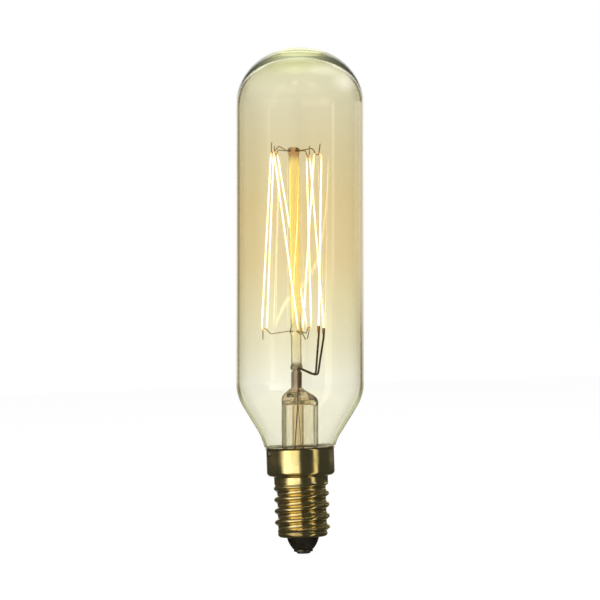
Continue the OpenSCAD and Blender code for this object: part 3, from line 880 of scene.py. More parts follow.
@dataclass
class ScrewCap(Assembly):
    """The brass cap with its insulator, contact, solder and cement. Sizes are in millimetres."""

    collar_r: float = 8.5
    rim_z: float = 26.6
    lip_flare: float = 0.35
    lip_h: float = 0.6
    lip_steps: int = 5
    step_z: float = 19.5
    step_round: float = 1.1
    band_fillet: float = 0.35
    band_r: float = 6.75
    band_gap: float = 0.3
    wall: float = 0.3
    crest_r: float = 6.9
    root_r: float = 6.1
    pitch: float = 2.822
    crest_z: float = 12.25
    crest_sharpness: float = 2.1
    crest_fullness: float = 1.6
    thread_top_z: float = 17.7
    runout: float = 1.0
    curl_z: float = 4.2
    curl_round: float = 0.9
    curl_bulge: float = 0.14
    curl_neck: float = 0.55
    thread_start: float = 0.3
    mouth_r: float = 4.15
    notch_w: float = 0.5
    notch_depth: float = 1.5
    notch_over: float = 1.0
    notch_reach: float = 2.4
    side_azimuth: float = 203.0
    insulator_top_z: float = 7.4
    insulator_tip_r: float = 2.5
    insulator_bulge: float = 0.25
    insulator_edge: float = 0.12
    insulator_edge_h: float = 0.072
    insulator_gap: float = 0.1
    insulator_round: float = 0.55
    wire_hole_r: float = 0.5
    contact_r: float = 2.4
    contact_t: float = 0.6
    contact_rim: float = 0.24
    dish_w: float = 0.12
    dish_depth: float = 0.04
    dish_middle: float = 0.06
    solder_h: float = 0.5
    solder_r: float = 1.9
    solder_flat_r: float = 1.2
    side_solder_r: float = 0.92
    side_solder_h: float = 0.5
    side_solder_drop: float = 0.26
    sides: int = 144
    rows_per_pitch: int = 24

    @property
    def curl_top_z(self) -> float:
        """Height where the curled edge ends and the thread begins."""
        return self.curl_z + self.curl_round

    def thread_radius(self, azimuth: float, z: float) -> float:
        """Gives the outer radius of the rolled thread.

        Args:
            azimuth: Direction in degrees.
            z: Height.

        Returns:
            The radius of the brass there.
        """
        turn = math.radians(360 * (z - self.crest_z) / self.pitch - azimuth)
        ridge = (1 - (0.5 - 0.5 * math.cos(turn)) ** self.crest_fullness) ** self.crest_sharpness
        fade_in = smooth((z - self.curl_top_z - self.thread_start) / self.runout)
        fade_out = smooth((self.thread_top_z - z) / self.runout)
        base = blend(self.band_r, self.root_r, fade_out)
        base += self.curl_bulge * (1 - smooth((z - self.curl_top_z) / self.curl_neck))
        return base + (self.crest_r - self.root_r) * ridge * min(fade_in, fade_out)

    def thread_rows(self, inward: float) -> list[Route]:
        """Lists the rings of the rolled part, on one face of the brass."""
        count = round((self.thread_top_z - self.curl_top_z) / self.pitch * self.rows_per_pitch)
        turns = [360 * k / self.sides for k in range(self.sides)]
        rows = []
        for i in range(count + 1):
            z = blend(self.curl_top_z, self.thread_top_z, i / count)
            rows.append([polar(a, self.thread_radius(a, z) - inward, z) for a in turns])
        return rows

    def curl(self, inward: float) -> Outline:
        """Outlines the curled bottom edge up to the thread, on one face of the brass."""
        centre = (self.root_r + self.curl_bulge - self.curl_round, self.curl_top_z)
        return [(self.mouth_r, self.curl_z + inward)] + arc(centre, self.curl_round - inward, -90, -4, 10)

    def collar(self, inward: float) -> Outline:
        """Outlines the band, step, collar and flared lip, on one face of the brass."""
        low = (self.band_r + self.band_fillet, self.step_z - self.band_fillet)
        high = (self.collar_r - self.step_round, self.step_z + self.step_round)
        side_r, lip_z = self.collar_r - inward, self.rim_z - self.lip_h
        side = [(side_r, blend(high[1], lip_z, t)) for t in (0.5, 0.98)]
        shares = [i / self.lip_steps for i in range(1, self.lip_steps + 1)]
        flare = [(side_r + self.lip_flare * smooth(t) * t, self.rim_z - self.lip_h * (1 - t)) for t in shares]
        foot = [(self.band_r - inward, self.thread_top_z + self.band_gap)]
        fillet = arc(low, self.band_fillet + inward, 180, 90, 8)
        corner = arc(high, self.step_round - inward, -90, 0, 12)
        return foot + fillet + corner + side + flare

    def face_rows(self, inward: float) -> list[Route]:
        """Lists the rings of one face of the brass, from the mouth up to the rim."""
        low, high = rings(self.curl(inward), self.sides), rings(self.collar(inward), self.sides)
        return low + self.thread_rows(inward) + high

    def notch_tool(self) -> Piece:
        """Makes the block that cuts the wire's notch into the rim, and stands over it a little."""
        middle_z = self.rim_z - self.notch_depth / 2 + self.notch_over / 2
        middle = Matrix.Translation(polar(self.side_azimuth, self.collar_r, middle_z))
        turn = Matrix.Rotation(math.radians(self.side_azimuth), 4, "Z")
        size = Matrix.Diagonal((self.notch_reach, self.notch_w, self.notch_depth + self.notch_over, 1))
        block = bmesh.new()
        bmesh.ops.create_cube(block, size=1, matrix=middle @ turn @ size)
        bmesh.ops.scale(block, vec=(MM, MM, MM), verts=block.verts)
        return linked("notch", block)

    def build_shell(self) -> None:
        """Draws the shell from its mouth up the outside, over the rim and down the inside."""
        edge = ring(self.collar_r + self.lip_flare - self.wall / 2, self.rim_z, self.sides)
        rows = self.face_rows(0) + [edge] + self.face_rows(self.wall)[::-1]
        shell = mesh_piece("brass_shell", rows, True)
        cut_away(shell, self.notch_tool(), SHARP_DEGREES)
        self.keep(shell)

    def build_insulator(self) -> None:
        """Turns the black insulator with its bulged cone and wire hole."""
        tip_z = self.solder_h + self.contact_t
        waist = self.mouth_r - self.insulator_gap
        inner_r = self.root_r - self.wall - self.insulator_gap
        corner = (inner_r - self.insulator_round, self.curl_top_z)
        cone_steps = 16
        cone = []
        for i in range(1, cone_steps):
            t = i / cone_steps
            bulge = self.insulator_bulge * math.sin(math.pi * t)
            cone.append((blend(self.insulator_tip_r, waist, t) + bulge, blend(tip_z, self.curl_z, t)))
        outline = [(self.wire_hole_r, tip_z), (self.insulator_tip_r - self.insulator_edge, tip_z)]
        outline += [(self.insulator_tip_r, tip_z + self.insulator_edge_h)] + cone
        outline += [(waist, self.curl_z), (waist, self.curl_top_z - self.insulator_round)]
        outline += arc(corner, self.insulator_round, -90, 0, 8)
        outline += [(inner_r, self.insulator_top_z), (self.wire_hole_r, self.insulator_top_z)]
        self.keep(lathe("insulator", outline, True, sides=120))

    def build_contact(self) -> None:
        """Turns the stamped contact plate with its rolled rim and shallow dish."""
        low, high, rim = self.solder_h, self.solder_h + self.contact_t, self.contact_rim
        outline = [(self.wire_hole_r, low + self.dish_middle), (self.solder_r, low + self.dish_depth)]
        outline += [(self.solder_r + self.dish_w, low)]
        outline += arc((self.contact_r - rim, low + rim), rim, -90, 0, 8)
        outline += arc((self.contact_r - rim / 2, high - rim / 2), rim / 2, 0, 90, 5)
        outline += [(self.wire_hole_r, high)]
        self.keep(lathe("contact_plate", outline, True))

    def build_centre_solder(self) -> None:
        """Forms the solder drop: a worn flat, a wavy foot and a set skin."""
        round_steps, sides, sunk = 10, 72, 0.02
        wave_scale, wave_seed, wave_share, shrunk = 1.1, 3.7, 0.09, 0.04
        profile = [(self.solder_flat_r * t, 0.0) for t in (0.0, 0.35, 0.7, 1.0)]
        for i in range(1, round_steps + 1):
            turn = math.radians(90 * i / round_steps)
            r = blend(self.solder_flat_r, self.solder_r, math.sin(turn))
            profile.append((r, self.solder_h * (1 - math.cos(turn))))
        profile += [(self.solder_r * t, self.solder_h + sunk) for t in (0.6, 0.0)]
        rows = []
        for r, z in profile:
            row = ring(r, z, sides)
            outer = smooth(r / self.solder_r)
            for point in row:
                wave = noise.noise(Vector((point.x * wave_scale, point.y * wave_scale, wave_seed)))
                stretch = 1 + outer * wave_share * wave - shrunk * outer
                point.x *= stretch
                point.y *= stretch
            rows.append(row)
        self.keep(mesh_piece("centre_drop", rows, False))

    def build_side_solder(self) -> None:
        """Forms the solder spot that grips the wire's end at the rim."""
        steps, sides, lift, shrunk, fullness, sharp = 10, 48, 0.02, 0.95, 0.75, 50
        wave_scale, wave_seed, wave_share = 2.2, 1.3, 0.10
        middle_z = self.rim_z - self.notch_depth + self.side_solder_drop
        rows = [[polar(self.side_azimuth, self.collar_r + self.side_solder_h, middle_z)]]
        for i in range(1, steps + 1):
            t = i / steps
            row = []
            for k in range(sides):
                a = 2 * math.pi * k / sides
                spot = Vector((wave_scale * math.cos(a), wave_scale * math.sin(a), wave_seed))
                reach = self.side_solder_r * t * (1 + wave_share * noise.noise(spot)) * shrunk
                aside, up = reach * math.cos(a), reach * math.sin(a)
                flare = self.lip_flare * max(0.0, middle_z + up - self.rim_z + self.lip_h) / self.lip_h
                height = self.side_solder_h * (1 - t * t) ** fullness
                azimuth = self.side_azimuth + math.degrees(aside / self.collar_r)
                row.append(polar(azimuth, self.collar_r + lift + max(flare, height), middle_z + up))
            rows.append(row)
        rows.append([polar(self.side_azimuth, self.collar_r + lift, middle_z)])
        self.keep(mesh_piece("side_drop", rows, False, sharp=sharp))

    def build(self) -> None:
        """Builds every piece of the cap."""
        self.build_shell()
        self.build_insulator()
        self.build_contact()
        self.build_centre_solder()
        self.build_side_solder()

    def dress(self) -> None:
        """Gives every piece of the cap its finish."""
        solder = SolderFinish().material()
        dull, dull_pale, dull_tarnish = (0.15, 0.14, 0.09), (0.20, 0.18, 0.12), (0.05, 0.045, 0.03)
        contact = BrassFinish("contact_brass", dull, dull_pale, dull_tarnish, roughness=0.3)
        self.wear("brass_shell", BrassFinish(groove_r=self.root_r).material(), Slot.CAP_BRASS, "cap_shell")
        self.wear("insulator", VitriteFinish().material(), Slot.VITRITE, "cap_insulator")
        self.wear("contact_plate", contact.material(), Slot.CONTACT_BRASS, "centre_contact")
        self.wear("centre_drop", solder, Slot.SOLDER, "centre_solder")
        self.wear("side_drop", solder, Slot.SOLDER, "side_solder")
        self.wear_carried("basing_cement", CementFinish().material(), Slot.CEMENT)


@dataclass
class GlassBulb(Assembly):
    """The blown tubular envelope. Sizes are in millimetres."""

    placement: Placement = Placement()
    top_z: float = 126.6
    bulb_r: float = 16.0
    dome_depth: float = 14.75
    dome_fullness: float = 2.06
    bore_fullness: float = 2.1
    wall: float = 0.8
    apex_wall: float = 2.0
    taper_slope: float = 31.5
    shoulder_r: float = 12.0
    throat_z: float = 24.0
    throat_curve_r: float = 12.5
    throat_r: float = 8.6
    heel_z: float = 27.05
    heel_r: float = 0.32
    bore_heel_z: float = 27.0
    bore_neck_drop: float = 0.4
    neck_r: float = 7.4
    neck_top_z: float = 25.9
    neck_round: float = 0.6
    neck_end_z: float = 21.1
    level_from: float = 23.0
    level_to: float = 28.0
    level_run: float = 2.5
    sides: int = 192
    dome_steps: int = 40

    def dome(self, radius: float, depth: float, fullness: float) -> Outline:
        """Outlines half of the dome, a slightly squared ellipse, from its side to its top.

        Args:
            radius: Radius at its foot.
            depth: Height of its top above its foot.
            fullness: Power of its outline, where 2 is an ellipse.

        Returns:
            The points, the top on the axis.
        """
        points = []
        for i in range(self.dome_steps):
            a = math.radians(90 * i / self.dome_steps)
            rise = depth * math.sin(a) ** (2 / fullness)
            points.append((radius * math.cos(a) ** (2 / fullness), self.top_z - self.dome_depth + rise))
        return points + [(0.0, self.top_z - self.dome_depth + depth)]

    def lower(self, face: Face) -> Outline:
        """Outlines the neck, heel, throat, taper and shoulder, on one face of the wall.

        Args:
            face: The face of the wall.

        Returns:
            The points from the neck's end upward.
        """
        inward = self.wall * face.value
        slope = math.radians(self.taper_slope)
        throat = Vector((self.throat_r + self.throat_curve_r, self.throat_z))
        radii = self.shoulder_r + self.throat_curve_r
        across = self.bulb_r - self.shoulder_r - throat.x
        run = (across + radii * math.cos(slope)) / math.sin(slope)
        shoulder = throat + Vector((across, radii * math.sin(slope) + run * math.cos(slope)))
        heel_z = self.bore_heel_z if face is Face.INSIDE else self.heel_z
        turn = math.asin((heel_z - self.throat_z) / self.throat_curve_r)
        way = Vector((-math.cos(turn), math.sin(turn)))
        heel = throat + way * (self.throat_curve_r + self.heel_r)
        heel_turn = math.degrees(turn)
        neck = (self.neck_r + self.neck_round, self.neck_top_z - self.bore_neck_drop * face.value)
        outline = [(self.neck_r - inward, self.neck_end_z)] + arc(neck, self.neck_round + inward, 180, 100, 8)
        if face is Face.OUTSIDE:
            outline += arc(tuple(heel), self.heel_r, -80, -heel_turn, 8)
        bend_r, from_heel, to_taper = self.throat_curve_r + inward, 180 - heel_turn, 180 - self.taper_slope
        outline += arc(tuple(throat), bend_r, from_heel, to_taper, 14)
        return outline + arc(tuple(shoulder), self.shoulder_r - inward, -self.taper_slope, 0, 16)

    def levelled(self, row: Route) -> Route:
        """Shears a ring near the rim so that it lies level over the cap once the glass leans.

        Args:
            row: The ring, about the glass's own axis.

        Returns:
            The ring, moved in full at the rim and not at all well above and below it.
        """
        near = smooth((row[0].z - self.level_from) / self.level_run)
        near *= 1 - smooth((row[0].z - self.level_to) / self.level_run)
        slope = math.tan(math.radians(self.placement.lean))
        return [Vector((p.x, p.y, p.z + near * slope * p.x)) for p in row]

    def build(self) -> None:
        """Turns the envelope from the top of its bore down to the neck and up the outside."""
        bore = self.lower(Face.INSIDE)
        bore += self.dome(self.bulb_r - self.wall, self.dome_depth - self.apex_wall, self.bore_fullness)
        skin = self.lower(Face.OUTSIDE) + self.dome(self.bulb_r, self.dome_depth, self.dome_fullness)
        rows = [self.levelled(row) for row in rings(bore[::-1] + skin, self.sides)]
        self.keep(mesh_piece("envelope", rows, False, self.placement.glass()))

    def dress(self) -> None:
        """Tints the envelope amber, greener at the dome, nearly clear low down and dark at the rim, and gives
        it a painted glow and painted highlights.
        """
        tints = (
            (26.0, (0.26, 0.20, 0.11)),
            (26.6, (0.34, 0.28, 0.17)),
            (27.0, (0.82, 0.79, 0.66)),
            (27.5, (0.920, 0.910, 0.815)),
            (43.0, (0.962, 0.950, 0.866)),
            (53.0, (0.945, 0.916, 0.760)),
            (63.0, (0.930, 0.878, 0.680)),
            (73.0, (0.915, 0.825, 0.600)),
            (88.0, (0.895, 0.805, 0.580)),
            (103.0, (0.880, 0.822, 0.640)),
            (117.0, (0.885, 0.860, 0.725)),
            (122.5, (0.860, 0.855, 0.690)),
            (125.0, (0.760, 0.790, 0.540)),
            (126.6, (0.700, 0.740, 0.460)),
        )
        edges = (
            (26.0, (0.14, 0.10, 0.05)),
            (26.6, (0.22, 0.17, 0.09)),
            (27.0, (0.66, 0.64, 0.46)),
            (27.5, (0.86, 0.88, 0.68)),
            (45.0, (0.84, 0.83, 0.60)),
            (60.0, (0.52, 0.44, 0.21)),
            (115.0, (0.50, 0.46, 0.24)),
            (127.0, (0.52, 0.54, 0.30)),
        )
        # Painted glow: the glass gives off faint light by height, most low down and at the dome's top, in
        # place of light that it catches.
        glow = (
            (26.0, (0.4, 0.36, 0.2)),
            (28.0, (2.4, 2.5, 1.7)),
            (44.0, (2.4, 2.4, 1.6)),
            (52.0, (0.5, 0.46, 0.25)),
            (105.0, (0.6, 0.58, 0.34)),
            (127.0, (1.8, 1.8, 1.2)),
        )
        # Painted highlights: three soft patches of light on the dome, in place of the haze of light seen in
        # it.
        spots = (
            PaintedHighlight((2.2, 0, 123.7), (8.0, 34, 1.6), (0.12, 0.125, 0.08)),
            PaintedHighlight((9.6, -11.7, 120.1), (6.5, 7, 2.4), (0.10, 0.10, 0.11)),
            PaintedHighlight((14.4, -9.7, 117.3), (5.5, 7, 3.8), (0.11, 0.11, 0.125)),
        )
        glass = GlassFinish("amber_glass", tints, edges, edge_from=0.72, glow=glow, spots=spots)
        self.wear("envelope", glass.material(), Slot.AMBER_GLASS, "glass_envelope")


@dataclass
class StemMount(Assembly):
    """The stem with its flare and press, the exhaust tube and the arbor rod, in millimetres."""

    placement: Placement = Placement()
    stem_r: float = 4.6
    wall: float = 0.8
    flare_r: float = 2.0
    neck_r: float = 7.4
    neck_end_z: float = 21.1
    dome_z: float = 37.6
    press_foot_z: float = 41.8
    press_half_t: float = 1.4
    press_half_w: float = 3.8
    press_delay: float = 1.6
    press_square: float = 0.6
    press_round: float = 0.8
    press_thinned: float = 0.25
    press_narrowed: float = 0.08
    press_steps: tuple[int, int, int] = (24, 6, 8)
    ceiling_z: float = 38.3
    ceiling_round: float = 1.5
    blow_hole_r: float = 0.65
    blow_hole_z: float = 39.5
    blow_hole_azimuth: float = 235.0
    blow_hole_run: float = 1.5
    blow_hole_rise: float = 0.4
    blow_hole_drop: float = 0.6
    blow_hole_bend: float = 0.7
    exhaust_x: float = -0.5
    exhaust_r: float = 1.5
    exhaust_wall: float = 0.5
    exhaust_end_z: float = 13.0
    rod_r: float = 1.3
    rod_length: float = 55.7
    bead_r: float = 1.6
    bead_h: float = 2.2
    bead_fullness: float = 1.3
    bead_steps: int = 14
    top_root_drop: float = 0.9
    foot_r: float = 1.55
    foot_h: float = 1.6
    foot_sunk: float = 0.1
    bottom_root_h: float = 9.7
    sides: int = 96
    sharp: float = 50.0

    @property
    def bore_r(self) -> float:
        """Radius of the stem tube's bore."""
        return self.stem_r - self.wall

    @property
    def flare_z(self) -> float:
        """Height where the stem begins to flare out."""
        return self.neck_end_z + self.flare_r

    @property
    def lip_z(self) -> float:
        """Height of the flare's underside, the lowest of the stem tube."""
        return self.neck_end_z - self.wall

    @property
    def top_root_h(self) -> float:
        """Height on the rod of the top anchors' roots."""
        return self.rod_length - self.top_root_drop

    def section(self, z: float) -> Route:
        """Gives the outline of dome and press at a height: a round tube that flattens upward.

        Args:
            z: The height.

        Returns:
            The ring of points.
        """
        top_z = self.placement.press_top_z
        t = (z - self.dome_z) / (self.press_foot_z - self.dome_z)
        drawn = smooth(max(t, 0.0) ** self.press_delay)
        top = smooth((z - top_z + self.press_round) / self.press_round)
        half_t = blend(self.stem_r, self.press_half_t, drawn) * (1 - self.press_thinned * top * top)
        half_w = blend(self.stem_r, self.press_half_w, smooth(t)) * (1 - self.press_narrowed * top * top)
        square = blend(1.0, self.press_square, drawn)
        points = []
        for k in range(self.sides):
            a = 2 * math.pi * k / self.sides
            c, s = math.cos(a), math.sin(a)
            x = half_t * math.copysign(abs(c) ** square, c) - self.placement.press_offset * smooth(t)
            points.append(Vector((x, half_w * math.copysign(abs(s) ** square, s), z)))
        return points

    def skirt(self) -> Outline:
        """Outlines the bore from its ceiling down, the flare, and its upper face up to the tube."""
        flare = (self.stem_r + self.flare_r, self.flare_z)
        ceiling = (self.bore_r - self.ceiling_round, self.ceiling_z - self.ceiling_round)
        inside = [(0.0, self.ceiling_z)] + arc(ceiling, self.ceiling_round, 90, 0)
        inside += arc(flare, self.flare_r + self.wall, 180, 270) + [(self.neck_r, self.lip_z)]
        return inside + [(self.neck_r, self.neck_end_z)] + arc(flare, self.flare_r, 270, 180)

    def press_heights(self) -> list[float]:
        """Lists the heights of the rings up the dome and the press to its rounded top."""
        dome, flat, crown = self.press_steps
        top_z = self.placement.press_top_z
        round_z = top_z - self.press_round
        heights = [blend(self.dome_z, self.press_foot_z, i / dome) for i in range(dome + 1)]
        heights += [blend(self.press_foot_z, round_z, i / flat) for i in range(1, flat + 1)]
        turns = [math.radians(90 * i / crown) for i in range(1, crown + 1)]
        return heights + [top_z - self.press_round * (1 - math.sin(turn)) for turn in turns]

    def blow_hole(self) -> Piece:
        """Makes the bent plug that cuts the blow hole from the bore out through the dome."""
        out_r, out_z = self.stem_r + self.blow_hole_run, self.blow_hole_z + self.blow_hole_rise
        route = [
            Vector((self.exhaust_x, 0, self.ceiling_z - self.blow_hole_drop)),
            Vector((self.exhaust_x, 0, self.blow_hole_z)),
            Vector((self.exhaust_x, 0, 0)) + polar(self.blow_hole_azimuth, out_r, out_z),
        ]
        bent = eased(route, self.blow_hole_bend)
        return wire("blow_hole", bent, self.blow_hole_r, self.placement.glass(), 24)

    def build_stem(self) -> None:
        """Forms the stem tube from its ceiling down to the flare and up the outside to the press."""
        crown_rise = 0.02
        crown = Vector((-self.placement.press_offset, 0, self.placement.press_top_z + crown_rise))
        rows = rings(self.skirt(), self.sides) + [self.section(z) for z in self.press_heights()] + [[crown]]
        stem = mesh_piece("stem_tube_glass", rows, False, self.placement.glass(), self.sharp)
        cut_away(stem, self.blow_hole(), self.sharp)
        self.keep(stem)

    def build_exhaust(self) -> None:
        """Turns the pumping tube with its melted end."""
        bore_r = self.exhaust_r - self.exhaust_wall
        tip_z = self.exhaust_end_z + self.exhaust_r
        skin = arc((0, tip_z), self.exhaust_r, -90, 0, 14) + [(self.exhaust_r, self.ceiling_z)]
        bore = [(bore_r, self.ceiling_z)] + arc((0, tip_z + self.exhaust_wall), bore_r, 0, -90, 14)
        outline = [(0.0, self.exhaust_end_z)] + skin[1:] + bore[:-1] + [(0.0, bore[-1][1])]
        place = self.placement.glass() @ Matrix.Translation((self.exhaust_x, 0, 0))
        self.keep(lathe("exhaust_glass", outline, False, place, 64))

    def bead(self, height: float) -> Outline:
        """Outlines one swelling of the rod."""
        points = []
        for i in range(self.bead_steps + 1):
            t = i / self.bead_steps
            swell = math.sin(math.pi * t) ** self.bead_fullness
            points.append((blend(self.rod_r, self.bead_r, swell), height + self.bead_h * (t - 0.5)))
        return points

    def build_rod(self) -> None:
        """Turns the rod with its melted foot, its bead and its top button."""
        foot = []
        for i in range(1, self.bead_steps + 1):
            t = i / self.bead_steps
            melted_r = blend(self.rod_r, self.foot_r, math.sin(math.pi * t))
            foot.append((melted_r, self.foot_h * (t - self.foot_sunk)))
        button = [point for point in self.bead(self.top_root_h) if point[1] < self.top_root_h]
        flat_r = self.bead_r - self.top_root_drop
        crown = arc((flat_r, self.top_root_h), self.top_root_drop, 0, 90, 10)
        outline = [(0.0, 0.0)] + foot + self.bead(self.bottom_root_h) + button + crown
        outline += [(flat_r / 2, self.rod_length), (0.0, self.rod_length)]
        self.keep(lathe("arbor_glass", outline, False, self.placement.press(), 72))

    def build(self) -> None:
        """Builds the glass of the stem."""
        self.build_stem()
        self.build_exhaust()
        self.build_rod()

    def dress(self) -> None:
        """Makes the stem clear with a smoky press and the exhaust tube tan, and paints the rod golden and
        glowing in the cage as painted light from the filament.
        """
        stem = (
            (20.0, (0.975, 0.955, 0.90)),
            (38.0, (0.965, 0.935, 0.86)),
            (38.8, (0.54, 0.39, 0.24)),
            (41.5, (0.42, 0.29, 0.17)),
            (42.5, (0.34, 0.23, 0.13)),
            (46.0, (0.34, 0.23, 0.13)),
        )
        tube = ((13.0, (0.93, 0.84, 0.70)), (38.5, (0.93, 0.84, 0.70)))
        # From 60 to 98.5 mm the rod's golden tint is painted light from the filament.
        rod = (
            (45.9, (0.20, 0.15, 0.07)),
            (47.1, (0.24, 0.19, 0.09)),
            (48.0, (0.88, 0.84, 0.66)),
            (56.0, (0.94, 0.89, 0.66)),
            (60.0, (0.96, 0.83, 0.44)),
            (98.5, (0.96, 0.83, 0.40)),
            (99.8, (0.62, 0.38, 0.20)),
            (102.0, (0.60, 0.36, 0.20)),
        )
        # Painted glow: in the cage the rod gives off light in place of the filament's light that it catches.
        lit = (
            (45.9, (0.0, 0.0, 0.0)),
            (57.0, (0.02, 0.015, 0.005)),
            (61.0, (1.0, 0.74, 0.24)),
            (97.5, (1.0, 0.74, 0.24)),
            (99.5, (0.05, 0.03, 0.01)),
            (102.0, (0.0, 0.0, 0.0)),
        )
        stem_edge = (
            (20.0, (0.03, 0.022, 0.01)),
            (36.0, (0.03, 0.022, 0.01)),
            (38.5, (0.10, 0.055, 0.025)),
            (46.0, (0.25, 0.15, 0.07)),
        )
        tube_edge = ((13.0, (0.45, 0.28, 0.14)), (38.5, (0.45, 0.28, 0.14)))
        # From 60 mm up the golden edge tint is painted light from the filament.
        rod_edge = (
            (45.9, (0.06, 0.05, 0.02)),
            (57.0, (0.05, 0.04, 0.015)),
            (60.0, (0.90, 0.62, 0.22)),
            (102.0, (0.90, 0.62, 0.22)),
        )
        clear = GlassFinish("stem_glass", stem, stem_edge, edge_from=0.42, edge_share=0.95, edge_to=0.66)
        tan = GlassFinish("exhaust_glass", tube, tube_edge, edge_from=0.45, edge_share=0.85)
        # The rod's glass with painted light from the filament: golden tint, golden edges and a glow in the
        # cage.
        rod_glass_with_painted_light = GlassFinish(
            "rod_glass",
            rod,
            rod_edge,
            edge_from=0.27,
            edge_share=0.9,
            edge_to=0.5,
            glow=lit,
            painted_glow_strength=0.14,
        )
        self.wear("stem_tube_glass", clear.material(), Slot.STEM_GLASS, "stem_tube")
        self.wear("exhaust_glass", tan.material(), Slot.STEM_GLASS, "exhaust_tube")
        self.wear("arbor_glass", rod_glass_with_painted_light.material(), Slot.STEM_GLASS, "arbor_rod")


@dataclass
class Leads(Assembly):
    """The posts with their crimps, the seal wires and the tails, in millimetres."""

    cap: ScrewCap
    stem: StemMount
    placement: Placement = Placement()
    post_r: float = 0.26
    spread: float = 2.2
    shift: float = 0.37
    joint_depth: float = 0.5
    arch_rise: float = 0.65
    knee_w: float = 0.9
    knee_tilt: float = 0.07
    post_bend: float = 0.45
    post_bow_share: float = 0.37
    knee_out: dict[Side, float] = field(default_factory=lambda: {Side.LEFT: 4.8, Side.RIGHT: 5.4})
    knee_drop: dict[Side, float] = field(default_factory=lambda: {Side.LEFT: 0.95, Side.RIGHT: 1.2})
    knee_spread: dict[Side, float] = field(default_factory=lambda: {Side.LEFT: 2.7, Side.RIGHT: 2.3})
    crimp_out: dict[Side, float] = field(default_factory=lambda: {Side.LEFT: 5.65, Side.RIGHT: 6.95})
    crimp_spread: dict[Side, float] = field(default_factory=lambda: {Side.LEFT: 3.2, Side.RIGHT: 2.5})
    crimp_top: dict[Side, float] = field(default_factory=lambda: {Side.LEFT: 11.0, Side.RIGHT: 10.4})
    crimp_h: float = 1.6
    crimp_base: float = 0.2
    crimp_lead: float = 0.6
    crimp_r: float = 0.36
    crimp_bore_r: float = 0.2
    crimp_squeeze: float = 0.26
    crimp_spread_power: float = 0.2
    crimp_shrunk: float = 0.95
    crimp_steps: int = 10
    crimp_sides: int = 28
    crimp_sharp: float = 40.0
    seal_r: float = 0.2
    seal_length: float = 3.8
    tail_r: float = 0.15
    tail_sides: int = 10
    tail_bow: dict[Side, float] = field(default_factory=lambda: {Side.LEFT: -0.9, Side.RIGHT: 1.7})
    tail_mid: tuple[Triple, ...] = ((1.3, 1.9, 17.0), (0.3, 0.6, 10.0))
    tail_gap: float = 0.2
    tail_veer: float = 20.0

    def crimp_foot(self, side: Side) -> Vector:
        """Returns the foot of a crimp, from the middle of the press's top."""
        height = self.crimp_top[side] - self.crimp_h
        return Vector((self.crimp_out[side], side.value * self.crimp_spread[side], height))

    def build_post(self, side: Side) -> None:
        """Bends one post: out of the press, over its edge, a dip, and up to its crimp.

        Args:
            side: The side of the press.
        """
        crimp = self.crimp_foot(side)
        foot = Vector((self.shift, side.value * self.spread, -self.joint_depth))
        knee = Vector((self.knee_out[side], side.value * self.knee_spread[side], -self.knee_drop[side]))
        route = [
            foot,
            foot + Vector((0, 0, self.joint_depth + self.arch_rise)),
            knee - Vector((self.knee_w, 0, self.knee_tilt)),
            knee + Vector((0, 0, self.knee_tilt)),
            knee.lerp(crimp, self.post_bow_share),
            crimp - Vector((0, 0, self.crimp_lead)),
            crimp + Vector((0, 0, self.crimp_base / 2)),
        ]
        name = f"post_{side.name.lower()}"
        self.keep(wire(name, eased(route, self.post_bend, 8), self.post_r, self.placement.press()))

    def build_crimp(self, side: Side) -> None:
        """Presses one crimp: a sleeve squeezed flat round the filament's end.

        Args:
            side: The side of the press.
        """
        rows = []
        turns = [2 * math.pi * k / self.crimp_sides for k in range(self.crimp_sides)]
        for radius, order in ((self.crimp_r, 1), (self.crimp_bore_r, -1)):
            for t in [i / self.crimp_steps for i in range(self.crimp_steps + 1)][::order]:
                squeeze = 1 - self.crimp_squeeze * math.sin(math.pi * t) ** 2
                spread = squeeze**self.crimp_spread_power
                row = []
                for a in turns:
                    x, y = radius * math.cos(a) / spread * self.crimp_shrunk, radius * math.sin(a) * squeeze
                    row.append(Vector((x, y, t * self.crimp_h)))
                rows.append(row)
        place = self.placement.press() @ Matrix.Translation(self.crimp_foot(side))
        self.keep(mesh_piece(f"crimp_{side.name.lower()}", rows, True, place, self.crimp_sharp))

    def seal_point(self, side: Side, share: float) -> Vector:
        """Returns the point a share of the way down a seal wire, from the post's foot."""
        top_z = self.placement.press_top_z - self.joint_depth
        x, y = self.shift - self.placement.press_offset, side.value * self.spread
        return Vector((x, y, top_z - self.seal_length * share))

    def build_seal(self, side: Side) -> None:
        """Draws one copper-clad seal wire in the press.

        Args:
            side: The side of the press.
        """
        points = [self.seal_point(side, share) for share in (1.0, 0.66, 0.33, 0.01)]
        self.keep(wire(f"seal_{side.name.lower()}", points, self.seal_r, self.placement.glass()))

    def tail_start(self, side: Side) -> Route:
        """Lists the upper points of a tail, under its seal wire and down the stem."""
        gap, enter_drop, bow_rise = 0.02, 0.5, 1.0
        x, y, foot_z = self.seal_point(side, 1.0)
        points = [
            Vector((x, y, foot_z - gap)),
            Vector((x, y, self.stem.ceiling_z - enter_drop)),
            Vector((x + self.tail_bow[side], y, self.stem.flare_z + bow_rise)),
        ]
        return [self.placement.glass() @ point for point in points]

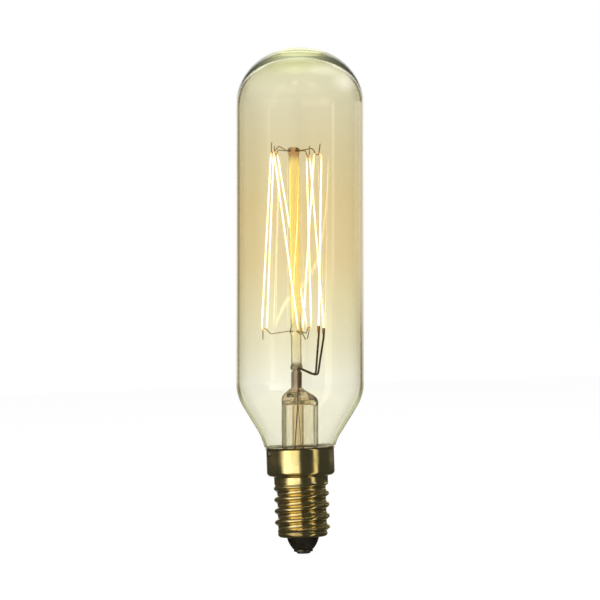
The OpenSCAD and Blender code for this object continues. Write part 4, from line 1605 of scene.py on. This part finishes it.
    def build_side_tail(self) -> None:
        """Leads the left tail under the stem's flare, up the collar and out through the notch."""
        cap, azimuth = self.cap, self.cap.side_azimuth
        bore_gap, end_gap, turn_rise, end_rise, bend = 0.6, 0.05, 0.1, 0.15, 0.35
        under_z = (cap.step_z + cap.wall + self.stem.lip_z) / 2
        gap_r = cap.collar_r - cap.wall - self.tail_r - self.tail_gap
        exit_z = cap.rim_z - cap.notch_depth + self.tail_r
        route = self.tail_start(Side.LEFT) + [
            polar(azimuth + self.tail_veer, self.stem.bore_r - bore_gap, under_z),
            polar(azimuth, gap_r, under_z),
            polar(azimuth, gap_r, exit_z + turn_rise),
            polar(azimuth, cap.collar_r - end_gap, exit_z + end_rise),
        ]
        self.keep(wire("tail_to_rim", eased(route, bend), self.tail_r, UPRIGHT, self.tail_sides))

    def build_centre_tail(self) -> None:
        """Leads the right tail down through the insulator to the centre's solder."""
        enter_rise, end_gap, bend = 0.5, 0.05, 0.8
        route = self.tail_start(Side.RIGHT) + [Vector(point) for point in self.tail_mid]
        route.append(Vector((0, 0, self.cap.insulator_top_z + enter_rise)))
        route.append(Vector((0, 0, self.cap.solder_h + end_gap)))
        self.keep(wire("tail_to_contact", eased(route, bend), self.tail_r, UPRIGHT, self.tail_sides))

    def build(self) -> None:
        """Builds both leads from their crimps down to the cap."""
        for side in Side:
            self.build_post(side)
            self.build_crimp(side)
            self.build_seal(side)
        self.build_side_tail()
        self.build_centre_tail()

    def dress(self) -> None:
        """Darkens the posts, browns their crimps and coppers the seals and tails."""
        nickel, crimp, seal, tail = (
            WireFinish(name, body, oxide, end, low, high).material()
            for name, body, oxide, end, low, high in (
                ("darkened_nickel", (0.10, 0.078, 0.03), (0.042, 0.032, 0.014), (0.18, 0.10, 0.04), 51, 56.5),
                ("crimp_metal", (0.46, 0.22, 0.07), (0.22, 0.10, 0.035), (0.55, 0.27, 0.09), 56, 57.5),
                ("seal_copper", (0.33, 0.11, 0.04), (0.14, 0.045, 0.02), (0.36, 0.14, 0.05), 43.5, 45.5),
                ("tail_copper", (0.16, 0.09, 0.04), (0.06, 0.04, 0.02), (0.20, 0.09, 0.035), 36, 41),
            )
        )
        for side in Side:
            word = side.name.lower()
            self.wear(f"post_{word}", nickel, Slot.POST_NICKEL, f"lead_post_{word}")
            self.wear(f"crimp_{word}", crimp, Slot.POST_NICKEL, f"lead_post_{word}")
            self.wear(f"seal_{word}", seal, Slot.SEAL_COPPER, f"seal_wire_{word}")
        self.wear("tail_to_rim", tail, Slot.TAIL_COPPER, "tail_wire_side")
        self.wear("tail_to_contact", tail, Slot.TAIL_COPPER, "tail_wire_centre")


@dataclass(frozen=True)
class Anchor:
    """One hooked support wire, in millimetres and degrees.

    Attributes:
        azimuth: Its direction from the rod.
        reach: Distance of the hook's middle from the rod's axis.
        knee_rise: Height of the knee over the root.
        knee_back: Distance of the knee inward from the hook's middle.
        hook_rise: Height of the hook over the root.
        tip_rise: Height of the free tip over the root.
        tip_out: Distance of the free tip outward from the hook's end.
        turn_w: Width of the filament's turn round the hook.
        turn_skew: How far that turn stands from square to the anchor.
        tip_swing: Turn of the free tip away from the azimuth.
    """

    azimuth: float
    reach: float
    knee_rise: float
    knee_back: float
    hook_rise: float
    tip_rise: float
    tip_out: float
    turn_w: float
    turn_skew: float
    tip_swing: float = 0.0


@dataclass
class FilamentCage(Assembly):
    """The anchors round the rod and the filament that they hold, in millimetres.

    The filament passes the hooks in the order given, each 1 for top or -1 for bottom with its place
    in that row, from 0.
    """

    stem: StemMount
    leads: Leads
    placement: Placement = Placement()
    anchor_foot: float = 0.55
    anchor_out: float = 0.4
    anchor_r: float = 0.13
    anchor_sides: int = 10
    hook_w: float = 0.72
    filament_r: float = 0.17
    strand_r: float = 0.045
    coil_pitch: float = 0.26
    steps_per_turn: int = 9
    strand_sides: int = 5
    turn_steps: int = 12
    cooled: float = 2.4
    coolest: float = 0.12
    gap: float = 0.05
    grip_rise: float = 0.1
    grip_over: float = 0.2
    top: tuple[Anchor, ...] = (
        Anchor(212, 6.2, 1.1, 1.9, -0.4, 2.0, -0.2, 1.5, 0),
        Anchor(136, 6.4, 0.4, 1.0, -0.6, 1.4, 0.0, 1.5, 0),
        Anchor(57, 6.7, 0.1, 1.3, -1.3, 1.4, 0.4, 1.0, 0),
        Anchor(322, 7.5, 0.4, 1.6, -1.2, 1.4, 0.5, 2.1, -27),
    )
    bottom: tuple[Anchor, ...] = (
        Anchor(178, 7.9, -0.6, 1.6, 0.7, -2.0, 0.05, 2.1, -34, 1),
        Anchor(279, 7.1, -0.6, 1.6, 0.4, -2.0, 0.05, 1.2, 0, 9),
        Anchor(63, 7.2, -0.6, 1.6, 0.9, -2.0, 0.05, 1.3, 0, 5),
    )
    order: tuple[tuple[int, int], ...] = ((1, 3), (-1, 1), (1, 0), (-1, 0), (1, 1), (-1, 2), (1, 2))

    @property
    def rows(self) -> tuple[tuple[str, tuple[Anchor, ...], float], ...]:
        """The two rows of anchors: their word, the anchors and the height of their roots."""
        return ("top", self.top, self.stem.top_root_h), ("bottom", self.bottom, self.stem.bottom_root_h)

    def anchor_route(self, anchor: Anchor, root_h: float) -> Route:
        """Lists an anchor's corners from the rod to its free end.

        Args:
            anchor: The anchor.
            root_h: Height of its root in the rod.

        Returns:
            The corners.
        """
        half = self.hook_w / 2
        hook_h = root_h + anchor.hook_rise
        free = anchor.azimuth + anchor.tip_swing
        return [
            polar(anchor.azimuth, self.anchor_foot, root_h),
            polar(anchor.azimuth, self.stem.bead_r + self.anchor_out, root_h),
            polar(anchor.azimuth, anchor.reach - anchor.knee_back, root_h + anchor.knee_rise),
            polar(anchor.azimuth, anchor.reach - half, hook_h),
            polar(anchor.azimuth, anchor.reach + half, hook_h),
            polar(free, anchor.reach + half + anchor.tip_out, root_h + anchor.tip_rise),
        ]

    def turn(self, anchor: Anchor, root_h: float, up: int) -> Route:
        """Lists the filament's turn round a hook.

        Args:
            anchor: The anchor whose hook it is.
            root_h: Height of the anchor's root.
            up: 1 over a top hook, -1 under a bottom one.

        Returns:
            Points on a half circle that clears the hook's wire.
        """
        aside = -polar(anchor.azimuth + 90 + anchor.turn_skew, 1, 0)
        crown = root_h + anchor.hook_rise + up * (self.anchor_r + self.filament_r + self.gap)
        middle = polar(anchor.azimuth, anchor.reach, crown)
        points = []
        for k in range(self.turn_steps + 1):
            a = math.pi * k / self.turn_steps
            rise = Vector((0, 0, up * (math.sin(a) - 1) * anchor.turn_w / 2))
            points.append(middle - math.cos(a) * aside * anchor.turn_w / 2 + rise)
        return points

    def filament_route(self) -> Route:
        """Lists the filament's centre line, from the left crimp round the rod to the right one."""
        leads = self.leads
        grip = Vector((0, 0, leads.crimp_base + self.grip_rise))
        out = Vector((0, 0, leads.crimp_h + self.grip_over))
        left, right = leads.crimp_foot(Side.LEFT), leads.crimp_foot(Side.RIGHT)
        top, bottom = self.rows
        route = [left + grip, left + out]
        for up, number in self.order:
            _, anchors, root_h = top if up == 1 else bottom
            route += self.turn(anchors[number], root_h, up)
        return route + [right + out, right + grip]

    def evened(self, route: Route) -> Route:
        """Lists points at even steps along a route, a fixed number of them to each turn of the coil."""
        step = self.coil_pitch / self.steps_per_turn
        even, spare = [route[0]], 0.0
        for start, end in zip(route, route[1:]):
            length = (end - start).length
            way = (end - start) / length
            at = step - spare
            while at < length:
                even.append(start + way * at)
                at += step
            spare = length - (at - step)
        return even

    def heat(self, coil: Piece, route: Route) -> None:
        """Notes at each point of the coil how brightly it glows, less near what holds it.

        Args:
            coil: The wound filament.
            route: Its centre line.
        """
        place = self.placement.press()
        held = [place @ route[0], place @ route[-1]]
        for _, anchors, root_h in self.rows:
            held += [place @ polar(a.azimuth, a.reach, root_h + a.hook_rise) for a in anchors]
        near = kdtree.KDTree(len(held))
        for number, point in enumerate(held):
            near.insert(point * MM, number)
        near.balance()
        shares = [near.find(v.co)[2] / (self.cooled * MM) for v in coil.data.vertices]
        glow = coil.data.attributes.new(GLOW_SHARE, "FLOAT", "POINT")
        glow.data.foreach_set("value", [blend(self.coolest, 1.0, smooth(share)) for share in shares])

    def build_filament(self) -> None:
        """Winds the fine strand along the filament's centre line."""
        route = self.filament_route()
        even = self.evened(route)
        radius = self.filament_r - self.strand_r
        helix = []
        for i, (point, (u, v)) in enumerate(zip(even, crossings(even))):
            a = 2 * math.pi * i / self.steps_per_turn
            helix.append(point + radius * (math.cos(a) * u + math.sin(a) * v))
        coil = wire("filament_coil", helix, self.strand_r, self.placement.press(), self.strand_sides)
        self.heat(coil, route)
        self.keep(coil)

    def build(self) -> None:
        """Bends the anchors and winds the filament."""
        place = self.placement.press()
        for word, anchors, root_h in self.rows:
            for number, anchor in enumerate(anchors, 1):
                route = eased(self.anchor_route(anchor, root_h), self.hook_w / 3)
                self.keep(wire(f"{word}_hook_{number}", route, self.anchor_r, place, self.anchor_sides))
        self.build_filament()

    def dress(self) -> None:
        """Gives the hooks their heat-tinted wire and the filament its glow."""
        for word, count, body, oxide, end, low, high in (
            ("top", len(self.top), (0.50, 0.36, 0.17), (0.28, 0.19, 0.08), (0.46, 0.38, 0.20), 100, 102),
            ("bottom", len(self.bottom), (0.60, 0.50, 0.30), (0.34, 0.27, 0.15), (0.50, 0.40, 0.22), 55, 57),
        ):
            skin = WireFinish(f"{word}_hook_wire", body, oxide, end, low, high).material()
            for number in range(1, count + 1):
                self.wear(f"{word}_hook_{number}", skin, Slot.ANCHOR_WIRE, f"{word}_anchor_{number}")
        self.wear("filament_coil", GlowFinish().material(), Slot.FILAMENT_GLOW, "filament")


# Studio


@dataclass(frozen=True)
class Softbox:
    """A soft light far away, by the directions that it fills in degrees seen from the lamp.

    Attributes:
        left: Azimuth of its left side, 0 towards the viewer and growing towards +X.
        right: Azimuth of its right side.
        low: Angle of its foot above the horizon.
        high: Angle of its top above the horizon.
        soft: Width of its soft sides.
        strength: Its brightness.
        tone: Its colour.
        mirrored: Whether it stands at the opposite azimuth as well.
    """

    left: float
    right: float
    low: float
    high: float
    soft: float
    strength: float
    tone: Colour = (1.0, 1.0, 1.0)
    mirrored: bool = False

    @property
    def half(self) -> float:
        """Half the width of its soft sides."""
        return self.soft / 2

    @property
    def rise(self) -> float:
        """Half the width of its soft top and bottom, at most a sixth of its height."""
        return min(self.half, (self.high - self.low) / 6)


@dataclass
class Studio:
    """Surroundings, floor, lights and camera. Distances are in metres."""

    placement: Placement = Placement()
    ambient: float = 0.042
    ambient_tone: Colour = (1.0, 1.1, 1.15)
    surround: Colour = (0.17, 0.14, 0.065)
    ceiling: Colour = (0.82, 0.79, 0.64)
    ground: Colour = (0.60, 0.63, 0.40)
    ceiling_from: float = 18.0
    ceiling_to: float = 34.0
    ground_from: float = -4.5
    ground_to: float = -15.0
    backdrop: Colour = (1.0, 1.0, 1.0)
    distance: float = 1.0
    eye_z: float = 0.06337
    lens: float = 240.0
    clip: tuple[float, float] = (0.01, 50.0)
    floor_r: float = 2.0
    floor_sides: int = 96
    floor_drop: float = 0.0003
    floor_glow: float = 0.95
    floor_dark: Colour = (0.10, 0.10, 0.10)
    floor_pale: Colour = (0.14, 0.14, 0.14)
    bloom: tuple[tuple[str, float], ...] = (("Threshold", 1.8), ("Strength", 0.3), ("Size", 0.25))
    wall_bounces: int = 24
    gloss_bounces: int = 8
    brightest_bounce: float = 12.0
    softboxes: tuple[Softbox, ...] = (
        Softbox(-58, -4, -16, -1.3, 4, 1.35, (1.0, 0.99, 0.95)),
        Softbox(-68, -58, -2.55, -1.3, 3, 1.35, (1.0, 0.99, 0.95)),
        Softbox(-66, -34, -16, -1.3, 12, 0.7),
        Softbox(-60, -4, -60, -16, 6, 0.3, (1.0, 0.84, 0.58)),
        Softbox(-75, -12, -1.3, 12, 34, 0.72, (1.0, 0.99, 0.95)),
        Softbox(-75, -12, 12, 45, 34, 0.35, (1.0, 0.99, 0.95)),
        Softbox(46, 60, -60, -1.3, 3, 0.95, (1.0, 0.94, 0.72)),
        Softbox(60.5, 64.5, -1.6, 2.9, 1.0, 1.3),
        Softbox(-53.5, -50, -1.2, 2.6, 1.0, 0.5),
        Softbox(118, 160, -1.4, 4, 5, 0.45),
        Softbox(118, 160, 8, 55, 8, 0.05, (0.95, 1.0, 0.85)),
        Softbox(92, 125, 14, 46, 8, 0.06),
        Softbox(-158, -84, -1.3, 5, 10, 0.12, (1.0, 0.92, 0.7)),
        Softbox(160, 200, -1.3, 35, 6, 1.0, mirrored=True),
        Softbox(160, 200, -30, -1.3, 6, 0.25, (1.0, 0.9, 0.65), mirrored=True),
        Softbox(64, 125, 46, 91, 14, 0.08),
        Softbox(-180, 180, 66, 91, 16, 0.25),
    )

    def cover(self, sheet: NodeSheet, azimuth: Socket, height: Socket, box: Softbox) -> Socket:
        """Works out how much of a softbox is seen in a direction.

        Args:
            sheet: The world's nodes.
            azimuth: Direction in degrees, 0 towards the viewer.
            height: Angle above the horizon in degrees.
            box: The softbox.

        Returns:
            Its strength there.
        """
        half, rise = box.half, box.rise
        across = sheet.math("ABSOLUTE", azimuth) if box.mirrored else azimuth
        inside = sheet.math("MULTIPLY", sheet.ease(across, box.left - half, box.left + half), box.strength)
        inside = sheet.math("MULTIPLY", inside, sheet.ease(across, box.right - half, box.right + half, 1, 0))
        inside = sheet.math("MULTIPLY", inside, sheet.ease(height, box.low - rise, box.low + rise))
        return sheet.math("MULTIPLY", inside, sheet.ease(height, box.high - rise, box.high + rise, 1, 0))

    def build_world(self) -> None:
        """Makes the white backdrop seen past and through the lamp, and the soft lights mirrored in it."""
        world = bpy.data.worlds.new("studio")
        bpy.context.scene.world = world
        world.use_nodes = True
        sheet = NodeSheet(world.node_tree)
        way = sheet.node("ShaderNodeTexCoord").outputs["Generated"]
        x, y, z = sheet.node("ShaderNodeSeparateXYZ", {0: way}).outputs
        degrees = 180 / math.pi
        azimuth = sheet.math("ARCTAN2", x, sheet.math("MULTIPLY", y, -1.0))
        azimuth = sheet.math("MULTIPLY", azimuth, degrees)
        height = sheet.math("MULTIPLY", sheet.math("ARCSINE", z), degrees)
        total = tuple(self.ambient * share for share in self.ambient_tone)
        for box in self.softboxes:
            inside = self.cover(sheet, azimuth, height, box)
            total = sheet.sum(total, sheet.scaled(box.tone, inside))
        path = sheet.node("ShaderNodeLightPath").outputs
        bounced = sheet.math("ADD", path["Glossy Depth"], path["Diffuse Depth"])
        overhead = sheet.ease(height, self.ceiling_from, self.ceiling_to)
        around = sheet.tint(overhead, self.surround, self.ceiling)
        passed = sheet.math("GREATER_THAN", path["Transmission Depth"], 0.5)
        below = sheet.ease(height, self.ground_from, self.ground_to)
        mirrored = sheet.sum(total, sheet.scaled(sheet.tint(below, around, self.ground), passed))
        straight = sheet.math("LESS_THAN", bounced, 0.5)
        seen = sheet.tint(overhead, self.backdrop, self.ceiling)
        colour = sheet.tint(straight, mirrored, seen)
        colour = sheet.tint(path["Is Camera Ray"], colour, self.backdrop)
        back = sheet.node("ShaderNodeBackground", {"Color": colour})
        sheet.join(back.outputs[0], sheet.node("ShaderNodeOutputWorld").inputs["Surface"])

    def build_floor(self) -> None:
        """Lays a plain pale floor just under the contact."""
        mesh = bmesh.new()
        bmesh.ops.create_circle(mesh, cap_ends=True, radius=self.floor_r, segments=self.floor_sides)
        floor = linked("floor", mesh)
        floor.location.z = -self.floor_drop
        sheet = NodeSheet.for_material("pale_floor")
        cloud = sheet.grain(3, 2, 0.5)
        sheet.set(
            Base_Color=sheet.tint(cloud, self.floor_dark, self.floor_pale),
            Roughness=0.9,
            Specular_IOR_Level=0.0,
            Emission_Color=(1.0, 1.0, 1.0),
            Emission_Strength=self.floor_glow,
        )
        sheet.material.cycles.emission_sampling = "NONE"
        floor.data.materials.append(sheet.material)
        floor.visible_glossy = floor.visible_transmission = False

    def build_lights(self) -> None:
        """Hangs two soft panels that light the floor and the matt pieces."""
        for name, where, side, power in (
            ("key_panel", (-0.6, -0.7, 0.75), 0.6, 7.0),
            ("top_panel", (0.25, 0.15, 1.0), 0.9, 5.0),
        ):
            light = bpy.data.lights.new(name, "AREA")
            light.shape, light.size, light.energy = "SQUARE", side, power
            lamp = bpy.data.objects.new(name, light)
            lamp.location = where
            aim = Vector((0, 0, self.eye_z)) - Vector(where)
            lamp.rotation_euler = aim.to_track_quat("-Z", "Y").to_euler()
            lamp.visible_camera = lamp.visible_glossy = lamp.visible_transmission = False
            bpy.context.scene.collection.objects.link(lamp)

    def build_camera(self) -> None:
        """Sets a level camera whose picture stands along the leaning glass."""
        lean = math.radians(self.placement.lean)
        rise = self.eye_z - self.placement.rim_z * MM
        target = Vector((rise * math.sin(lean), 0, self.eye_z))
        up = Vector((math.sin(lean), 0, math.cos(lean)))
        right = Vector((math.cos(lean), 0, -math.sin(lean)))
        data = bpy.data.cameras.new("view")
        data.lens = self.lens
        data.clip_start, data.clip_end = self.clip
        camera = bpy.data.objects.new("view", data)
        bpy.context.scene.collection.objects.link(camera)
        axes = Matrix((right, up, Vector((0, -1, 0)))).transposed().to_4x4()
        camera.matrix_world = Matrix.Translation(target - Vector((0, self.distance, 0))) @ axes
        bpy.context.scene.camera = camera

    def build_look(self) -> None:
        """Keeps plain colours, lets light pass many walls of glass and adds the filament's bloom."""
        scene = bpy.context.scene
        scene.view_settings.view_transform = "Standard"
        scene.cycles.max_bounces = scene.cycles.transmission_bounces = self.wall_bounces
        scene.cycles.glossy_bounces = self.gloss_bounces
        scene.cycles.sample_clamp_indirect = self.brightest_bounce
        scene.use_nodes = True
        tree = scene.node_tree
        tree.nodes.clear()
        layers = tree.nodes.new("CompositorNodeRLayers")
        glare = tree.nodes.new("CompositorNodeGlare")
        output = tree.nodes.new("CompositorNodeComposite")
        glare.glare_type = "BLOOM"
        for name, value in self.bloom:
            glare.inputs[name].default_value = value
        tree.links.new(layers.outputs["Image"], glare.inputs["Image"])
        tree.links.new(glare.outputs["Image"], output.inputs["Image"])

    def build(self) -> None:
        """Sets up the whole studio."""
        self.build_world()
        self.build_floor()
        self.build_lights()
        self.build_camera()
        self.build_look()


def main() -> None:
    """Builds the lamp and its studio and reports each piece."""
    logging.basicConfig(level=logging.INFO, format="%(name)s %(message)s")
    cap, bulb, stem = ScrewCap(), GlassBulb(), StemMount()
    leads = Leads(cap, stem)
    for assembly in (cap, bulb, stem, leads, FilamentCage(stem, leads)):
        assembly.build()
        assembly.dress()
        assembly.report()
    Studio().build()


if __name__ == "__main__":
    main()
